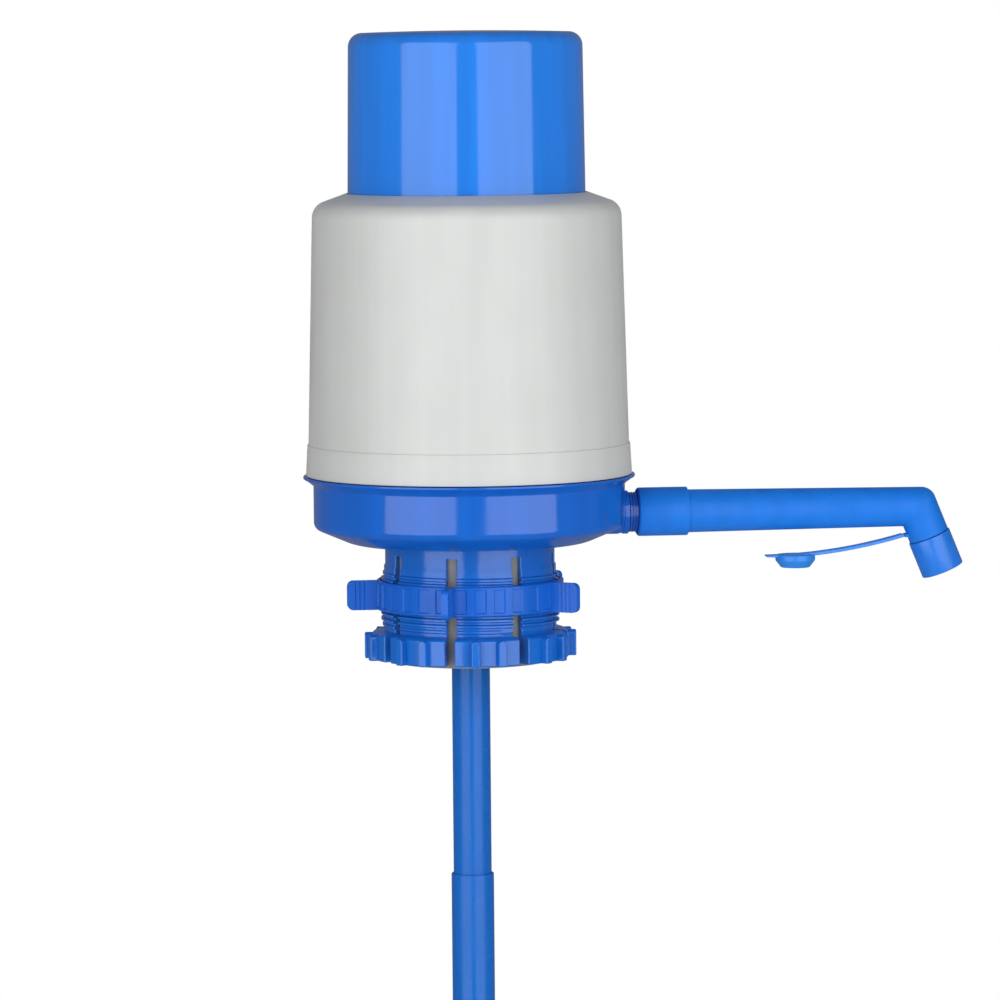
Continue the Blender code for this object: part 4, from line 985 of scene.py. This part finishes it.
def make_dust_cap():
    """The strap, drooping from its root and thinner at its tip, and the hollow plug under it."""
    half = STRAP_HALF
    top = arc(0, 0, half, 0, 90, 6)
    under = arc(0, 0, half, 0, -90, 6)[1:]
    for k in range(1, STRAP_STEPS + 1):
        share = k / STRAP_STEPS
        fall = STRAP_FALL * (1 - (1 - share) ** 2)
        tip = max(0.0, share - 1 + STRAP_TIP_SHARE) / STRAP_TIP_SHARE
        x = -STRAP_LENGTH * share
        top.append((x, half - fall))
        under.append((x, half - 2 * half * (1 - STRAP_TIP_THINNING * tip) - fall))
    strap = slab(top + under[::-1], -STRAP_SIDE, STRAP_SIDE)
    add_piece("dust_cap_strap", placed(strap, STRAP_FRAME), STRAP, "dust_cap", "dust_cap",
              bevel=STRAP_EDGE, slot="strap_plastic")
    plug_top = STRAP_ROOT.z - STRAP_FALL + half
    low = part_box("dust_cap")[0].z
    cup = lathe(soft_corners([
        (0, plug_top - PLUG_WALL),
        (PLUG_BORE_R, plug_top - PLUG_WALL),
        (PLUG_BORE_R, low),
        (PLUG_TIP_R, low),
        (PLUG_TOP_R, plug_top - PLUG_RIM_HEIGHT),
        (PLUG_TOP_R, plug_top),
        (0, plug_top),
    ], FINE_EDGE), TUBE_ROUND)
    x = STRAP_ROOT.x - STRAP_LENGTH + PLUG_FROM_END
    add_piece("dust_cap_plug", placed(cup, shift(x=x)), STRAP, "dust_cap", slot="strap_plastic")


def make_dip_tubes():
    """Two plain tubes, and the lowest with the step that plugs into them and its notched foot."""
    upper = lathe(tube("dip_tube_upper", TUBE_BORE_R, TUBE_R), TUBE_ROUND)
    add_piece("dip_tube_top", upper, TUBE, "pump_body", "dip_tube_upper", slot="tube_plastic")
    outline = tube("dip_tube_middle", SOCKET_TUBE_BORE_R, SOCKET_TUBE_R)
    middle = lathe(soft_corners(outline, FINE_EDGE), TUBE_ROUND)
    add_piece("dip_tube_mid", middle, TUBE, "pump_body", "dip_tube_middle", slot="tube_plastic")
    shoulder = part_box("dip_tube_middle")[0].z - GAP
    low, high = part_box("dip_tube_lower")
    rings = []
    for k in range(TUBE_ROUND):
        turn = 2 * math.pi * k / TUBE_ROUND
        side = Vector((math.cos(turn), math.sin(turn), 0))

        def at(radius, height):
            return radius * side + Vector((0, 0, height))

        def foot(radius):
            cut = 1 - abs(radius * side.x) / FOOT_HALF
            return at(radius, low.z + max(0.0, FOOT_NOTCH * cut - GAP))

        rings.append([foot(SOCKET_TUBE_R), at(SOCKET_TUBE_R, shoulder), at(TUBE_R, shoulder),
                      at(TUBE_R, high.z), at(TUBE_BORE_R, high.z), foot(TUBE_BORE_R)])
    add_piece("dip_tube_foot", loops(rings), TUBE, "pump_body", "dip_tube_lower",
              slot="tube_plastic")


def make_bellows():
    """The folds between two cuffs: the folds and the lower cuff ride on the body, the upper cuff on
    the cap.
    """
    low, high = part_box("bellows")
    first, last = low.z + CUFF_HEIGHT, high.z - CUFF_HEIGHT
    step = (last - first) / (2 * BELLOWS_FOLDS)
    outside = [(BELLOWS_INNER_R, first - BELLOWS_LAP)]
    for k in range(1, 2 * BELLOWS_FOLDS):
        outside.append((BELLOWS_OUTER_R if k % 2 else BELLOWS_INNER_R, first + k * step))
    outside.append((BELLOWS_INNER_R, last + BELLOWS_LAP))
    inside = [(radius - BELLOWS_WALL, height) for radius, height in outside]
    folds = lathe(soft_corners(outside + inside[::-1], FOLD_ROUND, 4), BELLOWS_ROUND)
    piece = add_piece("bellows_folds", folds, BELLOWS_RUBBER, "pump_body", "bellows",
                      slot="bellows_rubber")
    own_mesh(piece)
    for name, end, join, body in (("bellows_lower_cuff", low.z, first, "pump_body"),
                                  ("bellows_upper_cuff", high.z, last, "press_cap")):
        cuff = lathe([(CUFF_R + BELLOWS_WALL, end), (BELLOWS_INNER_R, join),
                      (BELLOWS_INNER_R - BELLOWS_WALL, join), (CUFF_R, end)], BELLOWS_ROUND)
        add_piece(name, cuff, BELLOWS_RUBBER, body, slot="bellows_rubber")


def make_spring():
    """A coil with a closed turn at each end."""
    low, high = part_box("return_spring")
    count = SPRING_TURNS * SPRING_TURN_STEPS
    bottom = low.z + SPRING_WIRE_R
    length = high.z - low.z - 2 * SPRING_WIRE_R
    closed = 2 * SPRING_WIRE_R + 2 * GAP
    rings = []
    for k in range(count + 1):
        turns = k / SPRING_TURN_STEPS
        if turns <= 1:
            height = closed * turns
        elif turns >= SPRING_TURNS - 1:
            height = length - closed * (SPRING_TURNS - turns)
        else:
            height = closed + (length - 2 * closed) * (turns - 1) / (SPRING_TURNS - 2)
        turn = 2 * math.pi * turns
        out = Vector((math.cos(turn), math.sin(turn), 0))
        centre = out * SPRING_R + Vector((0, 0, bottom + height))
        sides = [2 * math.pi * m / WIRE_ROUND for m in range(WIRE_ROUND)]
        rings.append([centre + SPRING_WIRE_R * (math.cos(s) * out + Vector((0, 0, math.sin(s))))
                      for s in sides])
    wire = add_piece("return_spring_wire", rod(rings), SPRING_STEEL, "pump_body", "return_spring",
                     slot="spring_steel")
    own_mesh(wire)


def paint(node, material):
    """Gives a CAD node a new material."""
    for holder in bpy.data.objects[node].material_slots:
        holder.material = material


make_barrel()
make_cap()
make_base()
make_collet()
make_ring()
make_neck_rubber()
make_elbow()
make_spout()
make_dust_cap()
make_dip_tubes()
make_bellows()
make_spring()
for node in ("bellows_top_plate", "valve_deck", "inlet_pin", "outlet_pin"):
    paint(node, INNER)
for node in ("inlet_valve", "outlet_valve", "deck_seal", "spout_o_ring_1", "spout_o_ring_2"):
    paint(node, BLACK_RUBBER)
for kind in ("deck_screw", "plate_screw", "collet_screw"):
    for k in range(1, 5):
        paint(f"{kind}_{k}", SCREW_STEEL)


# Light, floor and camera
def white_to_camera(tree, light, output):
    """Mixes a surface with plain white for the camera alone, and less near the pump."""
    white = tree.nodes.new("ShaderNodeEmission")
    white.inputs["Color"].default_value = (1, 1, 1, 1)
    mix = tree.nodes.new("ShaderNodeMixShader")
    path = tree.nodes.new("ShaderNodeLightPath")
    place = tree.nodes.new("ShaderNodeTexCoord")
    reach = tree.nodes.new("ShaderNodeVectorMath")
    reach.operation = "LENGTH"
    fade = tree.nodes.new("ShaderNodeMapRange")
    fade.interpolation_type = "SMOOTHSTEP"
    near, far = FLOOR_SHADOW_REACH
    fade.inputs["From Min"].default_value = near
    fade.inputs["From Max"].default_value = far
    fade.inputs["To Min"].default_value = 1 - FLOOR_SHADOW_SHARE
    share = tree.nodes.new("ShaderNodeMath")
    share.operation = "MULTIPLY"
    tree.links.new(place.outputs["Object"], reach.inputs[0])
    tree.links.new(reach.outputs["Value"], fade.inputs["Value"])
    tree.links.new(fade.outputs["Result"], share.inputs[0])
    tree.links.new(path.outputs["Is Camera Ray"], share.inputs[1])
    tree.links.new(share.outputs["Value"], mix.inputs["Fac"])
    tree.links.new(light, mix.inputs[1])
    tree.links.new(white.outputs["Emission"], mix.inputs[2])
    tree.links.new(mix.outputs["Shader"], output)


def make_stage():
    """A pale floor that keeps the pump's shadow, and a pale world. Both are white to the camera."""
    mesh = bpy.data.meshes.new("floor")
    level = CAD_BOX[0].z - FLOOR_DROP
    signs = ((-1, -1), (1, -1), (1, 1), (-1, 1))
    corners = [(FLOOR_REACH * x, FLOOR_REACH * y, level) for x, y in signs]
    mesh.from_pydata(corners, [], [(0, 1, 2, 3)])
    material, tree, shader = new_material("floor_white")
    shader.inputs["Base Color"].default_value = (FLOOR_SHADE, FLOOR_SHADE, FLOOR_SHADE, 1)
    shader.inputs["Roughness"].default_value = 0.8
    white_to_camera(tree, shader.outputs["BSDF"], tree.nodes["Material Output"].inputs["Surface"])
    mesh.materials.append(material)
    floor = bpy.data.objects.new("floor", mesh)
    bpy.context.scene.collection.objects.link(floor)
    floor.visible_glossy = False
    world = bpy.data.worlds.new("studio")
    bpy.context.scene.world = world
    world.use_nodes = True
    tree = world.node_tree
    ground = tree.nodes["Background"]
    ground.inputs["Color"].default_value = (1, 1, 1, 1)
    path = tree.nodes.new("ShaderNodeLightPath")
    strength = tree.nodes.new("ShaderNodeMapRange")
    strength.inputs["To Min"].default_value = WORLD_LIGHT
    strength.inputs["To Max"].default_value = 1.0
    tree.links.new(path.outputs["Is Camera Ray"], strength.inputs["Value"])
    tree.links.new(strength.outputs["Result"], ground.inputs["Strength"])


def away(azimuth, elevation):
    """The direction from the pump. Azimuth 0 is the camera's side, and more is to its left."""
    turn = azimuth + CAMERA_AZIMUTH
    flat = math.cos(elevation)
    return Vector((-math.sin(turn) * flat, -math.cos(turn) * flat, math.sin(elevation)))


def add_softbox(name, azimuth, rise, distance, size, watts):
    """An area light that faces the pump, with its angles in degrees."""
    lamp = bpy.data.lights.new(name, "AREA")
    lamp.shape = "RECTANGLE"
    lamp.size, lamp.size_y = size
    lamp.energy = watts
    item = bpy.data.objects.new(name, lamp)
    bpy.context.scene.collection.objects.link(item)
    back = away(math.radians(azimuth), math.radians(rise))
    item.location = Vector((0, 0, LIGHT_AIM_Z)) + back * distance
    item.rotation_mode = "QUATERNION"
    item.rotation_quaternion = (-back).to_track_quat("-Z", "Y")
    return item


def make_camera():
    """The photograph's camera, a little above the pump's middle and turned round it."""
    camera = bpy.data.cameras.new("camera")
    camera.sensor_width = SENSOR
    half_view = PHOTO_PIXELS * MM_PER_PIXEL * MM / 2
    camera.lens = SENSOR / 2 * CAMERA_DISTANCE / half_view
    camera.clip_end = 100
    item = bpy.data.objects.new("camera", camera)
    bpy.context.scene.collection.objects.link(item)
    bpy.context.scene.camera = item
    back = away(0, CAMERA_ELEVATION)
    right = Vector((math.cos(CAMERA_AZIMUTH), -math.sin(CAMERA_AZIMUTH), 0))
    aim = right * MIDDLE_RIGHT + Vector((0, 0, MIDDLE_UP))
    item.location = aim + back * CAMERA_DISTANCE
    item.rotation_mode = "QUATERNION"
    face = (-back).to_track_quat("-Z", "Y")
    item.rotation_quaternion = face @ Matrix.Rotation(CAMERA_ROLL, 3, "Z").to_quaternion()


make_stage()
for side, azimuth in (("left", SOFTBOX_LEFT), ("right", SOFTBOX_RIGHT)):
    add_softbox(f"softbox_{side}", azimuth, SOFTBOX_RISE, SOFTBOX_DISTANCE, SOFTBOX_SIZE,
                SOFTBOX_WATTS)
behind = add_softbox("softbox_back", BACK_TURN, BACK_RISE, BACK_DISTANCE, BACK_SIZE, BACK_WATTS)
behind.visible_glossy = False
make_camera()
bpy.context.scene.view_settings.view_transform = "Standard"
